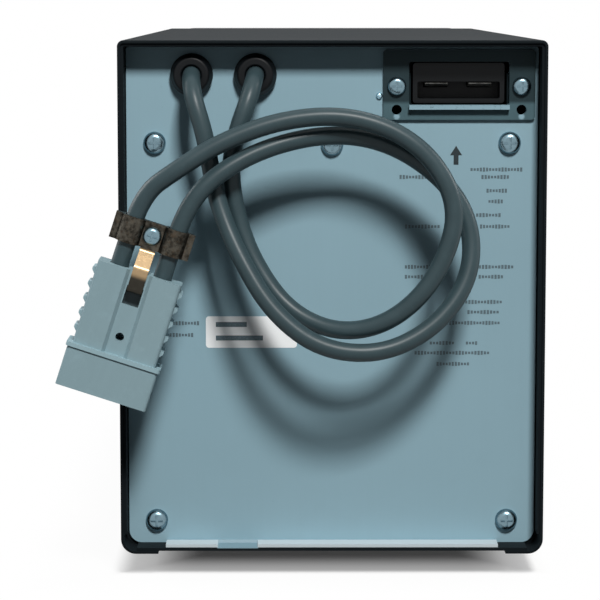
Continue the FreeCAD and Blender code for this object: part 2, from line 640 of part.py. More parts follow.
def front_bezel():
    outer = extruded(casing_outline(0, BEZEL_TOP_CORNER, COVER_BASE_BEND), "xz", BEZEL_Y, FRONT)
    face = [e for e in outer.Edges if abs(e.BoundBox.YMin - FRONT) < 1e-4]
    outer = outer.makeFillet(BEZEL_EDGE, face)
    lining = casing_outline(BEZEL_WALL, BEZEL_TOP_CORNER, COVER_BASE_BEND)
    inner = extruded(lining, "xz", BEZEL_Y - 1, FRONT - BEZEL_WALL)
    shell = outer.cut(inner)
    span = SIDE - BEZEL_TOP_CORNER
    grooves = []
    for i in range(BEZEL_GROOVES):
        z = BASE + BEZEL_GROOVE_RISE + i * BEZEL_GROOVE_PITCH
        band = rectangle((-span, span), (z, z + BEZEL_GROOVE_WIDTH), BEZEL_GROOVE_WIDTH / 2 - 0.05)
        grooves.append(extruded(band, "xz", FRONT - BEZEL_GROOVE_DEPTH, FRONT + 1))
    shell = drilled(shell, grooves)
    outside = CHASSIS_INSIDE - SHEET_GAP
    slot_y = hook_slot_y()
    hooks = []
    for z in hook_places():
        arm_y = (slot_y[0] + 0.4, FRONT - BEZEL_WALL / 2)
        arm = [
            (outside - HOOK_THICKNESS, arm_y[0]), (outside, arm_y[0]), (outside + HOOK_BARB, slot_y[1] - 1.6),
            (outside + HOOK_BARB, slot_y[1] - 0.4), (outside, slot_y[1] - 0.4),
            (outside, arm_y[1]), (outside - HOOK_THICKNESS, arm_y[1]),
        ]
        hook = extruded(arm, "xy", z - HOOK_WIDTH / 2, z + HOOK_WIDTH / 2)
        hooks += [hook, mirrored(hook)]
    return joined([shell] + hooks)


def foot(place):
    outer = FOOT_DIAMETER / 2
    stem = [
        (0, FOOT_HOLLOW), (outer - FOOT_RIM - 0.5, FOOT_HOLLOW), (outer - FOOT_RIM, 0.0),
        (outer, 0.0), (outer - FOOT_TAPER, FLOOR_UNDER),
        (FOOT_NECK / 2, FLOOR_UNDER), (FOOT_NECK / 2, FLOOR_Z), (FOOT_BARB / 2, FLOOR_Z),
        (FOOT_NECK / 2 - 0.6, FLOOR_Z + FOOT_BARB_HEIGHT), (0, FLOOR_Z + FOOT_BARB_HEIGHT),
    ]
    return turned(stem, place, Vector(0, 0, 1))


# ---- batteries ------------------------------------------------------------------------------
def battery_places():
    """Each battery's near left lower corner, and the side of the middle plane that it is on."""
    return {
        f"{end}_{side}": (Vector(x, y, BATTERY_Z), sign)
        for end, y in (("rear", MODULE_REAR), ("front", MODULE_FRONT - BATTERY.y))
        for side, x, sign in (("left", -MODULE_OUTER, -1), ("right", MODULE_INNER, 1))
    }


def tab_places(corner, sign):
    """Middles of a battery's two terminal tabs, at the level of its lid."""
    middle = corner.x + BATTERY.x / 2
    x = middle - sign * (BATTERY.x / 2 - TAB_INSET_SIDE)
    return [Vector(x, corner.y + y, BATTERY_TOP) for y in (TAB_INSET_END, BATTERY.y - TAB_INSET_END)]


def battery_case(corner):
    far = corner + BATTERY
    plan = rectangle((corner.x, far.x), (corner.y, far.y), BATTERY_CORNER)
    case = extruded(plan, "xy", corner.z, far.z)
    depth, height = SEAM
    seam_z = (far.z - BATTERY_LID - height / 2, far.z - BATTERY_LID + height / 2)
    across, along = (corner.x + depth, far.x - depth), (corner.y + depth, far.y - depth)
    core = extruded(rectangle(across, along, BATTERY_CORNER - depth), "xy", *seam_z)
    groove = extruded(plan, "xy", *seam_z).cut(core)
    inset_x, inset_y = VENT_INSET
    across, along = (corner.x + inset_x, far.x - inset_x), (corner.y + inset_y, far.y - inset_y)
    recess = extruded(rectangle(across, along, BATTERY_CORNER), "xy", far.z - VENT_DEPTH, far.z + 1)
    return case.cut(groove).cut(recess)


def battery_tabs(corner, sign):
    half = TAB_SIDE / 2
    tabs = []
    for place in tab_places(corner, sign):
        outline = rectangle((place.x - half, place.x + half), (place.y - half, place.y + half), 1.0)
        tabs.append(extruded(outline, "xy", BATTERY_TOP, TAB_TOP))
    return tabs


def link_ends(side):
    """Middles of the two tabs that a module's link joins, on top of the tabs."""
    rear, front = battery_places()[f"rear_{side}"], battery_places()[f"front_{side}"]
    rise = Vector(0, 0, TAB_RISE)
    return tab_places(*rear)[1] + rise, tab_places(*front)[0] + rise


def series_link(side):
    near, far = link_ends(side)
    half = TAB_SIDE / 2
    strap = rectangle((near.x - half, near.x + half), (near.y - half, far.y + half), 1.5)
    return extruded(strap, "xy", TAB_TOP, TAB_TOP + LINK_SHEET)


def fuse_ends():
    """Middles of the two front tabs that the fuse joins, on top of the tabs."""
    rise = Vector(0, 0, TAB_RISE)
    return [tab_places(*battery_places()[f"front_{side}"])[1] + rise for side in ("left", "right")]


def fuse_blade():
    left, right = fuse_ends()
    half, narrow = TAB_SIDE / 2, TAB_SIDE / 5
    z = (TAB_TOP, TAB_TOP + LINK_SHEET)
    strap = block((left.x - half, right.x + half), (left.y - half, left.y + half), z)
    waist = (-FUSE_WAIST / 2, FUSE_WAIST / 2)
    sides = []
    for sign in (-1, 1):
        y = (left.y + sign * narrow, left.y + sign * (half + 1))
        sides.append(block(waist, y, (z[0] - 1, z[1] + 1)))
    return strap.cut(group(sides))


def fuse_body():
    left, right = fuse_ends()
    reach = (right.x - left.x) / 2 - TAB_SIDE / 2 - FUSE_BODY_GAP
    half = TAB_SIDE / 2 + FUSE_BODY_MARGIN
    outline = rectangle((-reach, reach), (left.y - half, left.y + half), 1.5)
    return extruded(outline, "xy", TAB_TOP - FUSE_BODY_DROP, TAB_TOP + FUSE_BODY_RISE).cut(fuse_blade())


def link_bolts():
    down = Vector(0, 0, -1)
    places = [p for side in ("left", "right") for p in link_ends(side)] + fuse_ends()
    return group([hex_bolt(LINK_BOLT, LINK_SHEET, p + Vector(0, 0, LINK_SHEET), down) for p in places])


def bolted(strap, places):
    """A strap with the holes of its bolts."""
    up = Vector(0, 0, 1)
    return drilled(strap, [hole(LINK_BOLT, THREAD_CLEARANCE, p, up, 3) for p in places])


def base_pad():
    side = SIDE - COVER_LIP + 1.0
    pad = extruded(rectangle((-side, side), (MODULE_REAR, MODULE_FRONT), 3.0), "xy", FLOOR_Z, BATTERY_Z)
    up = Vector(0, 0, 1)
    return drilled(pad, [rod(p, up * TOP, FOOT_BARB + 2) for p in foot_places().values()])


def side_pad(sign):
    x = (sign * MODULE_OUTER, sign * (CHASSIS_INSIDE - PAD_GAP))
    y = (MODULE_REAR + SIDE_PAD_SETBACK, MODULE_FRONT - SIDE_PAD_SETBACK)
    return block(x, y, (BATTERY_Z + PAD_RISE, BATTERY_TOP - PAD_DROP))


def front_pad():
    half = MODULE_OUTER - FRONT_PAD_INSET
    y = (MODULE_FRONT, CHASSIS_FRONT - PAD_GAP)
    return block((-half, half), y, (BATTERY_Z + PAD_RISE, BATTERY_TOP - PAD_DROP))


def module_divider():
    half = MODULE_INNER - DIVIDER_GAP
    return block((-half, half), (MODULE_REAR, MODULE_FRONT), (BATTERY_Z, BATTERY_TOP))


def battery_stop():
    """Channel behind the panel that keeps the batteries from sliding back."""
    half_width = CHASSIS_INSIDE - REAR_FLANGE - STOP_END_GAP
    z = (CENTRE_SCREW_Z - STOP_BELOW_SCREW, CENTRE_SCREW_Z + STOP_ABOVE_SCREW)
    y = (PANEL_BACK, MODULE_REAR - PAD_GAP)
    sheet = CHASSIS_SHEET
    section = [
        (y[0], z[0], 2.0), (y[1], z[0]), (y[1], z[0] + sheet), (y[0] + sheet, z[0] + sheet, 0.8),
        (y[0] + sheet, z[1] - sheet, 0.8), (y[1], z[1] - sheet), (y[1], z[1]), (y[0], z[1], 2.0),
    ]
    channel = extruded(section, "yz", -half_width, half_width)
    centre_screw = panel_screw_places()[4]
    return drilled(channel, [hole(PANEL_SCREW, THREAD_CLEARANCE, centre_screw, Vector(0, 1, 0), 5)])


def hold_down_y():
    return {"rear": MODULE_REAR + BATTERY.y / 2, "front": MODULE_FRONT - BATTERY.y / 2}


def hold_down_screw_places():
    x = CHASSIS_INSIDE - TOP_FLANGE / 2
    top = CHASSIS_TOP + HOLD_DOWN_SHEET
    return [Vector(sign * x, y, top) for y in hold_down_y().values() for sign in (-1, 1)]


def hold_down(y):
    """A hat-shaped bar: its crown lies on the batteries and its ends on the chassis flanges."""
    sheet, low, high = HOLD_DOWN_SHEET, BATTERY_TOP, CHASSIS_TOP + HOLD_DOWN_SHEET
    leg, end = CHASSIS_INSIDE - TOP_FLANGE - HOLD_DOWN_LEG_GAP, CHASSIS_INSIDE - HOLD_DOWN_END_GAP
    right = [
        (leg, low, 3.0), (leg, high - sheet, 1.5), (end, high - sheet), (end, high), (leg - sheet, high, 3.0),
        (leg - sheet, low + sheet, 1.5),
    ]
    left = [(-a, b, *r) for a, b, *r in reversed(right)]
    bar = extruded(right + left, "xz", y - HOLD_DOWN_WIDTH / 2, y + HOLD_DOWN_WIDTH / 2)
    up = Vector(0, 0, 1)
    places = [p for p in hold_down_screw_places() if abs(p.y - y) < 1]
    return drilled(bar, [hole(SMALL_SCREW, HOLE_CLEARANCE, p, up, 3) for p in places])


# ---- leads, bushings and junction -----------------------------------------------------------
def bushing(start):
    """A strain relief: a round head outside the panel and a threaded neck through it."""
    bore, neck, head = (LEAD_DIAMETER + LEAD_CLEARANCE) / 2, BUSHING_NECK / 2, BUSHING_HEAD / 2
    end = PANEL_SHEET + BUSHING_TAIL
    section = [
        (bore, -BUSHING_RISE, 0.8), (head - 1.6, -BUSHING_RISE, 1.4), (head, -BUSHING_RISE * 0.45, 1.0),
        (head, 0), (neck, 0), (neck, end), (bore, end),
    ]
    return turned(section, start, Vector(0, 1, 0))


def bushing_nut(start):
    across, thickness = BUSHING_NUT
    nut = extruded(hexagon(across), "xy", 0, thickness)
    nut = nut.cut(rod(Vector(0, 0, -1), Vector(0, 0, thickness + 2), BUSHING_NECK + THREAD_CLEARANCE))
    seat = Vector(start.x, PANEL_BACK, start.z)
    nut.Placement = Placement(seat, Rotation(Vector(0, 0, 1), Vector(0, 1, 0)))
    return nut


def junction_span():
    """The junction block's three spans."""
    middle = (LEFT_LEAD + RIGHT_LEAD) / 2
    near = PANEL_Y + JUNCTION_SETBACK
    return (
        (middle.x - JUNCTION.x / 2, middle.x + JUNCTION.x / 2),
        (near, near + JUNCTION.y),
        (middle.z - JUNCTION.z / 2, middle.z + JUNCTION.z / 2),
    )


def junction_terminals():
    _, y, _ = junction_span()
    half = JUNCTION_POLE / 2
    along = (y[0] + JUNCTION_END_WALL, y[1] - JUNCTION_END_WALL)
    return group([
        block((start.x - half, start.x + half), along, (start.z - half, start.z + half))
        for start in (LEFT_LEAD, RIGHT_LEAD)
    ])


def junction_block():
    x, y, z = junction_span()
    case = extruded(rectangle(x, y, 2.0), "xy", *z)
    half = JUNCTION_POLE / 2 + POLE_GAP
    return drilled(case, [
        block((start.x - half, start.x + half), (y[0] - 1, y[1] + 1), (start.z - half, start.z + half))
        for start in (LEFT_LEAD, RIGHT_LEAD)
    ])


def shelf_screw_places():
    _, y, _ = junction_span()
    x = -(CHASSIS_INSIDE - TOP_FLANGE / 2)
    return [Vector(x, along, CHASSIS_TOP) for along in (y[0] + SHELF_SCREW_INSET, y[1] - SHELF_SCREW_INSET)]


def junction_shelf():
    """A Z-shaped bracket that hangs the junction block from the chassis's left flange."""
    x, y, z = junction_span()
    under, sheet = CHASSIS_TOP - CHASSIS_SHEET, SHELF_SHEET
    wall, hang = -CHASSIS_INSIDE + SHEET_GAP, -CHASSIS_INSIDE + TOP_FLANGE + SHELF_HANG_GAP
    section = [
        (wall, under), (wall, under - sheet), (hang, under - sheet, 0.5), (hang, z[0] - sheet, 1.7),
        (x[1], z[0] - sheet), (x[1], z[0]), (hang + sheet, z[0], 0.5), (hang + sheet, under, 1.7),
    ]
    shelf = extruded(section, "xz", *y)
    up = Vector(0, 0, 1)
    return drilled(shelf, [hole(SMALL_SCREW, THREAD_CLEARANCE, p, up, 4) for p in shelf_screw_places()])


def lead_tail(name, start):
    """The stretch of a free lead from the panel to the junction terminal."""
    _, y, _ = junction_span()
    terminal = y[0] + JUNCTION_END_WALL
    return lead(name, [start, Vector(start.x, terminal, start.z)], LEAD_DIAMETER)


def junction_exit(start, side):
    """Where an inner lead leaves a pole of the junction block."""
    _, y, _ = junction_span()
    terminal = y[1] - JUNCTION_END_WALL
    return Vector(start.x + side * (INNER_LEAD / 2 + INNER_LEAD_GAP), terminal, start.z)


def battery_lead(name, pole, side, module):
    """From a pole of the junction block down to a module's rear terminal."""
    start = junction_exit(pole, side)
    tab = tab_places(*battery_places()[f"rear_{module}"])[0]
    end = Vector(tab.x, tab.y + TAB_SIDE / 2, BATTERY_TOP + INNER_LEAD / 2 + SHEET_GAP)
    out = start + Vector(0, BATTERY_LEAD_OUT, 0)
    bow = (start + end) / 2 + Vector(0, BATTERY_LEAD_BOW, 0)
    back = end + Vector(0, BATTERY_LEAD_BACK, 0)
    return lead(name, [start, out, bow, back, end], INNER_LEAD)


def socket_lead(name, pole, side, chamber_side):
    """From a pole of the junction block round to a chamber of the socket."""
    start = junction_exit(pole, side)
    end = SOCKET_PLACE.multVec(Vector(chamber_side * POLE_PITCH / 2, 0, -LEAD_SEAT))
    out = SOCKET_PLACE.multVec(Vector(chamber_side * POLE_PITCH / 2, 0, SOCKET_LEAD_OUT))
    bow = out.y + SOCKET_LEAD_BOW
    if chamber_side > 0:
        bow += SOCKET_LEAD_NEST
    near = Vector(start.x + SOCKET_LEAD_TURN, bow, start.z)
    far = Vector(out.x - SOCKET_LEAD_OUT, bow, end.z)
    return lead(name, [start, start + Vector(0, SOCKET_LEAD_TURN, 0), near, far, out, end], INNER_LEAD)


# ---- two-pole connector ---------------------------------------------------------------------
# In its own frame the rear face is at z = 0, the mating end points along -Z and the poles lie
# side by side along X.
def pole_sides():
    return {"left": -1, "right": 1}


def channel_floor():
    """How far a channel's floor is from the connector's middle."""
    return CONNECTOR_THICKNESS / 2 - BODY_STEP / 2 - CHANNEL_DEPTH


def grip_ribs(body_x, body_y):
    """The finger ribs on both sides, steep towards the lead."""
    ribs = []
    for i in range(GRIP_RIBS):
        top = -GRIP_START - i * GRIP_PITCH
        out = body_x + GRIP_RISE
        tooth = [(body_x - 1, top), (out, top - 0.8), (out, top - 1.8), (body_x - 1, top - 4.4)]
        rib = extruded(tooth, "xz", -body_y + GRIP_INSET, body_y - GRIP_INSET)
        ribs += [rib, mirrored(rib)]
    return ribs


def connector_housing(lock_wall):
    """Housing with a locking hole, which leaves a wall of that thickness behind it, or none."""
    hood_x, hood_y = CONNECTOR_WIDTH / 2, CONNECTOR_THICKNESS / 2
    body_x, body_y = hood_x - BODY_STEP, hood_y - BODY_STEP / 2
    length, step = CONNECTOR_LENGTH, CONNECTOR_LENGTH - HOOD_LENGTH
    hood = extruded(rectangle((-hood_x, hood_x), (-hood_y, hood_y), 1.2), "xy", -length, -step)
    body = extruded(rectangle((-body_x, body_x), (-body_y, body_y), 1.5), "xy", -step, 0)
    collar_x, collar_y = hood_x + COLLAR_RISE, hood_y + COLLAR_RISE
    outline = rectangle((-collar_x, collar_x), (-collar_y, collar_y), 1.4)
    collar = extruded(outline, "xy", -step - COLLAR_WIDTH, -step)
    solid = joined([hood, body, collar] + grip_ribs(body_x, body_y))
    floor, past = channel_floor(), body_y + 1
    slope = (CHANNEL_MOUTH - CHANNEL_WIDTH) / 2 / CHANNEL_DEPTH
    narrow = CHANNEL_WIDTH / 2
    wide = narrow + slope * (past - floor)
    channel = extruded([(-narrow, floor), (narrow, floor), (wide, past), (-wide, past)], "xy", -step, 1)
    cuts = [channel, channel.mirror(Vector(0, 0, 0), Vector(0, 1, 0))]
    slot_z = (-SLOT_SETBACK, -SLOT_SETBACK - SLOT_LENGTH)
    cuts.append(block((-SLOT_WIDTH / 2, SLOT_WIDTH / 2), (-body_y, -SLOT_FLOOR), slot_z))
    cuts.append(rod(Vector(0, -past, -LOCK_SETBACK), Vector(0, past + floor + 1 - lock_wall, 0), LOCK_HOLE))
    for sign in pole_sides().values():
        x = sign * POLE_PITCH / 2
        cuts.append(rod(Vector(x, 0, 1), Vector(0, 0, -1 - CHAMBER_DEPTH), LEAD_DIAMETER + CHAMBER_GAP))
        half = BLADE_WIDTH / 2 + BLADE_GAP
        passage_z = (-CHAMBER_DEPTH + 1.5, -length + MOUTH_DEPTH - 0.5)
        cuts.append(block((x - half, x + half), (-BLADE_GAP, BLADE_SHEET + BLADE_GAP + 0.1), passage_z))
    mouth_x = hood_x - MOUTH_WALL
    low = -hood_y + MOUTH_WALL
    mouth = rectangle((-mouth_x, mouth_x), (low + TONGUE_HEIGHT, hood_y - MOUTH_WALL), 0.8)
    cuts.append(extruded(mouth, "xy", -length - 1, -length + MOUTH_DEPTH))
    return drilled(solid, cuts)


def connector_contact(side):
    """Crimp barrel and flat blade; the blade's tip lies on the tongue in the mouth."""
    x = side * POLE_PITCH / 2
    barrel_end = -CHAMBER_DEPTH + 0.5
    barrel = rod(Vector(x, 0, -LEAD_SEAT), Vector(0, 0, barrel_end + LEAD_SEAT), LEAD_DIAMETER - CRIMP_GAP)
    half = BLADE_WIDTH / 2
    tip, root = -CONNECTOR_LENGTH + BLADE_SETBACK, barrel_end + 0.5
    side_view = [
        (0, root), (BLADE_SHEET, root), (BLADE_SHEET, tip + 1.5, 1.0), (BLADE_SHEET * 0.25, tip), (0, tip),
    ]
    blade = extruded(side_view, "yz", x - half, x + half)
    return joined([barrel, blade])


def placed(shape, place):
    shape = shape.copy()
    shape.Placement = place.multiply(shape.Placement)
    return shape


# ---- socket ---------------------------------------------------------------------------------
def bracket_screw_places(y=PANEL_Y):
    z = SOCKET_Z - BRACKET_SCREW_DROP
    return [Vector(SOCKET_X + sign * BRACKET_SCREW_PITCH / 2, y, z) for sign in (-1, 1)]


def retainer_places():
    return [p - Vector(0, 0, RETAINER_DROP - BRACKET_SCREW_DROP) for p in bracket_screw_places()]


def socket_opening():
    """A drill for the socket's opening, through panel and bracket."""
    width, height = SOCKET_OPENING
    x = (SOCKET_X - width / 2, SOCKET_X + width / 2)
    z = (SOCKET_Z - height / 2, SOCKET_Z + height / 2)
    return extruded(rectangle(x, z, 0.8), "xz", PANEL_Y - 8, PANEL_BACK + 3)


def socket_bracket():
    """A plate over the socket's edges, with two screws, two spare holes and a lip under the opening."""
    x = (SOCKET_X - BRACKET_WIDTH / 2, SOCKET_X + BRACKET_WIDTH / 2)
    z = (SOCKET_Z - BRACKET_BELOW, SOCKET_Z + BRACKET_ABOVE)
    y = (PANEL_Y - BRACKET_SHEET, PANEL_Y)
    plate = extruded(rectangle(x, z, 1.5), "xz", *y)
    lip_width, lip_sheet, lip_reach = BRACKET_LIP
    top = SOCKET_Z - SOCKET_OPENING[1] / 2
    x = (SOCKET_X - lip_width / 2, SOCKET_X + lip_width / 2)
    lip = block(x, (PANEL_Y - lip_reach, PANEL_Y), (top - lip_sheet, top))
    bracket = joined([plate, lip])
    inward = Vector(0, 1, 0)
    holes = [hole(BRACKET_SCREW, HOLE_CLEARANCE, p, inward, 5) for p in bracket_screw_places()]
    holes += [rod(p - inward * 5, inward * 10, RETAINER_HOLE) for p in retainer_places()]
    return drilled(bracket, holes + [socket_opening()])


def pin_place():
    """Where the locating pin beside the bracket enters the panel."""
    outside = BRACKET_WIDTH / 2 + PIN_OUTSIDE
    return Vector(SOCKET_X - outside, PANEL_Y, SOCKET_Z - PIN_DROP)


def bracket_pin():
    shank, head, height = PIN
    outline = [
        (0, -height), (head / 2, -height, height * 0.8), (head / 2, 0), (shank / 2, 0),
        (shank / 2, PIN_LENGTH), (0, PIN_LENGTH),
    ]
    return turned(outline, pin_place(), Vector(0, 1, 0))


def cradle_span():
    """Half width and floor level of the cradle's channel round the socket."""
    half = CONNECTOR_WIDTH / 2 + COLLAR_RISE + CRADLE_GAP
    floor = SOCKET_Z - CONNECTOR_THICKNESS / 2 - COLLAR_RISE - CRADLE_GAP
    return half, floor


def socket_cradle():
    """A channel behind the panel that carries the socket; its ears take the bracket screws."""
    half, floor = cradle_span()
    sheet = CRADLE_SHEET
    top = floor + CRADLE_ARM
    left, right = SOCKET_X - half, SOCKET_X + half
    section = [
        (left - sheet, top), (left - sheet, floor - sheet, 1.6), (right + sheet, floor - sheet, 1.6),
        (right + sheet, top), (right, top), (right, floor, 0.4), (left, floor, 0.4), (left, top),
    ]
    channel = extruded(section, "xz", PANEL_BACK, PANEL_BACK + CRADLE_DEPTH)
    ear_x, ear_z = (half, BRACKET_WIDTH / 2 - EAR_INSET), (floor + EAR_RISE, top)
    ears = [
        block((SOCKET_X + s * ear_x[0], SOCKET_X + s * ear_x[1]), (PANEL_BACK, PANEL_BACK + sheet), ear_z)
        for s in (-1, 1)
    ]
    cradle = joined([channel] + ears)
    holes = [hole(BRACKET_SCREW, THREAD_CLEARANCE, p, Vector(0, 1, 0), 5) for p in bracket_screw_places()]
    holes.append(rod(lock_place() - Vector(0, 0, 5), Vector(0, 0, 10), SMALL_SCREW[0] + THREAD_CLEARANCE))
    return drilled(cradle, holes)


def lock_place():
    """Where the socket's locking screw passes the cradle's floor."""
    across = SOCKET_PLACE.multVec(Vector(0, 0, -LOCK_SETBACK))
    return Vector(across.x, across.y, cradle_span()[1])


def socket_lock_screw():
    body_top = SOCKET_Z + channel_floor()
    seat = Vector(lock_place().x, lock_place().y, body_top)
    length = body_top - cradle_span()[1] + CRADLE_SHEET + LOCK_SCREW_TAIL
    return plain_screw(SMALL_SCREW, length, seat, Vector(0, 0, -1))


# ---- plug -----------------------------------------------------------------------------------
def clamp_half(side):
    """One jaw: flats beside two half-round saddles, in the plug's frame; side -1 faces outwards."""
    inner = LEAD_DIAMETER / 2 + CLAMP_GRIP_GAP
    outer = inner + CLAMP_SHEET
    split = CLAMP_SPLIT / 2
    low, high = CLAMP_SETBACK - CLAMP_HEIGHT / 2, CLAMP_SETBACK + CLAMP_HEIGHT / 2
    half = CLAMP_WIDTH / 2
    flat = block((-half, half), (side * split, side * (split + CLAMP_SHEET)), (low, high))
    beyond = block((-CLAMP_WIDTH, CLAMP_WIDTH), (side * split, -side * CLAMP_WIDTH), (low - 1, high + 1))
    saddles, bores = [], []
    for sign in pole_sides().values():
        centre = Vector(sign * POLE_PITCH / 2, 0, low)
        saddles.append(rod(centre, Vector(0, 0, high - low), 2 * outer).cut(beyond))
        bores.append(rod(centre - Vector(0, 0, 1), Vector(0, 0, high - low + 2), 2 * inner))
    return drilled(joined([flat] + saddles), bores)


def clamp_screw_hole(clearance):
    start = Vector(0, -CONNECTOR_THICKNESS, CLAMP_SETBACK)
    return rod(start, Vector(0, 2 * CONNECTOR_THICKNESS, 0), CLAMP_SCREW[0] + clearance)


def clamp_tongue():
    """The strip of the front jaw that runs down the plug's channel and hooks into its slot."""
    jaw_y = -CLAMP_SPLIT / 2 - CLAMP_SHEET
    sheet = CLAMP_SHEET
    under = -channel_floor() - TONGUE_GAP
    low = CLAMP_SETBACK - CLAMP_HEIGHT / 2
    hook, tip = -SLOT_SETBACK - TONGUE_HOOK, -channel_floor() + TONGUE_DIP
    strip = [
        (jaw_y, low + 1.0), (jaw_y, low - 1.0, 1.5), (under - sheet, 1.8, 2.0), (under - sheet, hook, 1.4),
        (tip, hook), (tip, hook + sheet), (under, hook + sheet, 0.2),
        (under, 1.4, 0.8), (jaw_y + sheet, low - 1.4, 0.3), (jaw_y + sheet, low + 1.0),
    ]
    return extruded(strip, "yz", -TONGUE_WIDTH / 2, TONGUE_WIDTH / 2)


def clamp_front():
    return joined([clamp_half(-1), clamp_tongue()]).cut(clamp_screw_hole(HOLE_CLEARANCE))


def clamp_rear():
    return clamp_half(1).cut(clamp_screw_hole(HOLE_CLEARANCE))


def clamp_screw():
    seat = Vector(0, -CLAMP_SPLIT / 2 - CLAMP_SHEET, CLAMP_SETBACK)
    return pan_screw(CLAMP_SCREW, 2 * CLAMP_SHEET + CLAMP_SPLIT + CLAMP_SCREW_TAIL, seat, Vector(0, 1, 0))


def clamp_nut():
    across, thickness = CLAMP_NUT
    seat = Vector(0, CLAMP_SPLIT / 2 + CLAMP_SHEET, CLAMP_SETBACK)
    nut = extruded(hexagon(across), "xy", 0, thickness)
    nut.Placement = Placement(seat, Rotation(Vector(0, 0, 1), Vector(0, 1, 0)))
    return nut.cut(clamp_screw_hole(THREAD_CLEARANCE))


# ---- all pieces -----------------------------------------------------------------------------
def build():
    inward, up, down = Vector(0, 1, 0), Vector(0, 0, 1), Vector(0, 0, -1)
    nodes = {
        "cover": cover(),
        "chassis": chassis(),
        "rear_panel": rear_panel(),
        "front_bezel": front_bezel(),
        "battery_door": battery_door(),
        "battery_stop": battery_stop(),
        "junction_block": junction_block(),
        "junction_terminals": junction_terminals(),
        "junction_shelf": junction_shelf(),
        "base_pad": base_pad(),
        "side_pads": group([side_pad(-1), side_pad(1)]),
        "front_pad": front_pad(),
        "module_divider": module_divider(),
    }
    top_places = hold_down_screw_places() + shelf_screw_places()
    bracket_places = bracket_screw_places(PANEL_Y - BRACKET_SHEET)
    screws = {
        "rear_panel_screws": (pan_screw, PANEL_SCREW, PANEL_SCREW_LENGTH, panel_screw_places(), inward),
        "cover_screws": (plain_screw, SMALL_SCREW, COVER_SCREW_LENGTH, cover_screw_places(), up),
        "battery_door_screws": (plain_screw, SMALL_SCREW, DOOR_SCREW_LENGTH, door_screw_places(), -inward),
        "top_flange_screws": (plain_screw, SMALL_SCREW, TOP_SCREW_LENGTH, top_places, down),
        "socket_bracket_screws": (pan_screw, BRACKET_SCREW, BRACKET_SCREW_LENGTH, bracket_places, inward),
    }
    for name, (kind, size, length, places, direction) in screws.items():
        nodes[name] = group([kind(size, length, place, direction) for place in places])
    for name, place in foot_places().items():
        nodes[name] = foot(place)
    for name, (corner, sign) in battery_places().items():
        nodes[f"battery_{name}"] = battery_case(corner)
    for side in ("left", "right"):
        pair = [battery_places()[f"{end}_{side}"] for end in ("rear", "front")]
        tabs = [tab for corner, sign in pair for tab in battery_tabs(corner, sign)]
        nodes[f"battery_tabs_{side}"] = group(tabs)
        nodes[f"series_link_{side}"] = bolted(series_link(side), link_ends(side))
    nodes["fuse_body"] = fuse_body()
    nodes["fuse_blade"] = bolted(fuse_blade(), fuse_ends())
    nodes["link_bolts"] = link_bolts()
    for name, y in hold_down_y().items():
        nodes[f"hold_down_{name}"] = hold_down(y)

    nodes["bushing_nuts"] = group([bushing_nut(start) for start in (LEFT_LEAD, RIGHT_LEAD)])
    for side, start in (("left", LEFT_LEAD), ("right", RIGHT_LEAD)):
        nodes[f"bushing_{side}"] = bushing(start)
        nodes[f"lead_tail_{side}"] = lead_tail(f"lead_tail_{side}", start)
    nodes["battery_lead_left"] = battery_lead("battery_lead_left", LEFT_LEAD, 1, "left")
    nodes["battery_lead_right"] = battery_lead("battery_lead_right", RIGHT_LEAD, 1, "right")
    nodes["socket_lead_left"] = socket_lead("socket_lead_left", RIGHT_LEAD, -1, -1)
    nodes["socket_lead_right"] = socket_lead("socket_lead_right", LEFT_LEAD, -1, 1)

    nodes["socket_bracket"] = socket_bracket()
    nodes["bracket_pin"] = bracket_pin()
    nodes["socket_cradle"] = socket_cradle()
    nodes["socket_lock_screw"] = socket_lock_screw()
    nodes["socket_housing"] = placed(connector_housing(0), SOCKET_PLACE)
    nodes["plug_housing"] = placed(connector_housing(LOCK_BLIND_WALL), PLUG_PLACE)
    for side, sign in pole_sides().items():
        nodes[f"socket_contact_{side}"] = placed(connector_contact(sign), SOCKET_PLACE)
        nodes[f"plug_contact_{side}"] = placed(connector_contact(sign), PLUG_PLACE)
    clamp = {"front": clamp_front(), "rear": clamp_rear(), "screw": clamp_screw(), "nut": clamp_nut()}
    for name, piece in clamp.items():
        nodes[f"clamp_{name}"] = placed(piece, PLUG_PLACE)
    # The right chamber of the plug takes the left lead, which crosses in front of the other.
    nodes["lead_left"] = lead("lead_left", free_route(LEFT_LEAD, LEFT_ROUTE, 1), LEAD_DIAMETER)
    nodes["lead_right"] = lead("lead_right", free_route(RIGHT_LEAD, RIGHT_ROUTE, -1), LEAD_DIAMETER)
    return nodes


for name, shape in build().items():
    if not shape.isValid():
        print(f"{name} is not valid")
    shape.exportStep(f"parts/{name}.step")
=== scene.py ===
import json
import math

import bmesh
import bpy
from bpy.props import FloatProperty, FloatVectorProperty, IntProperty, PointerProperty
from mathutils import Matrix, Vector

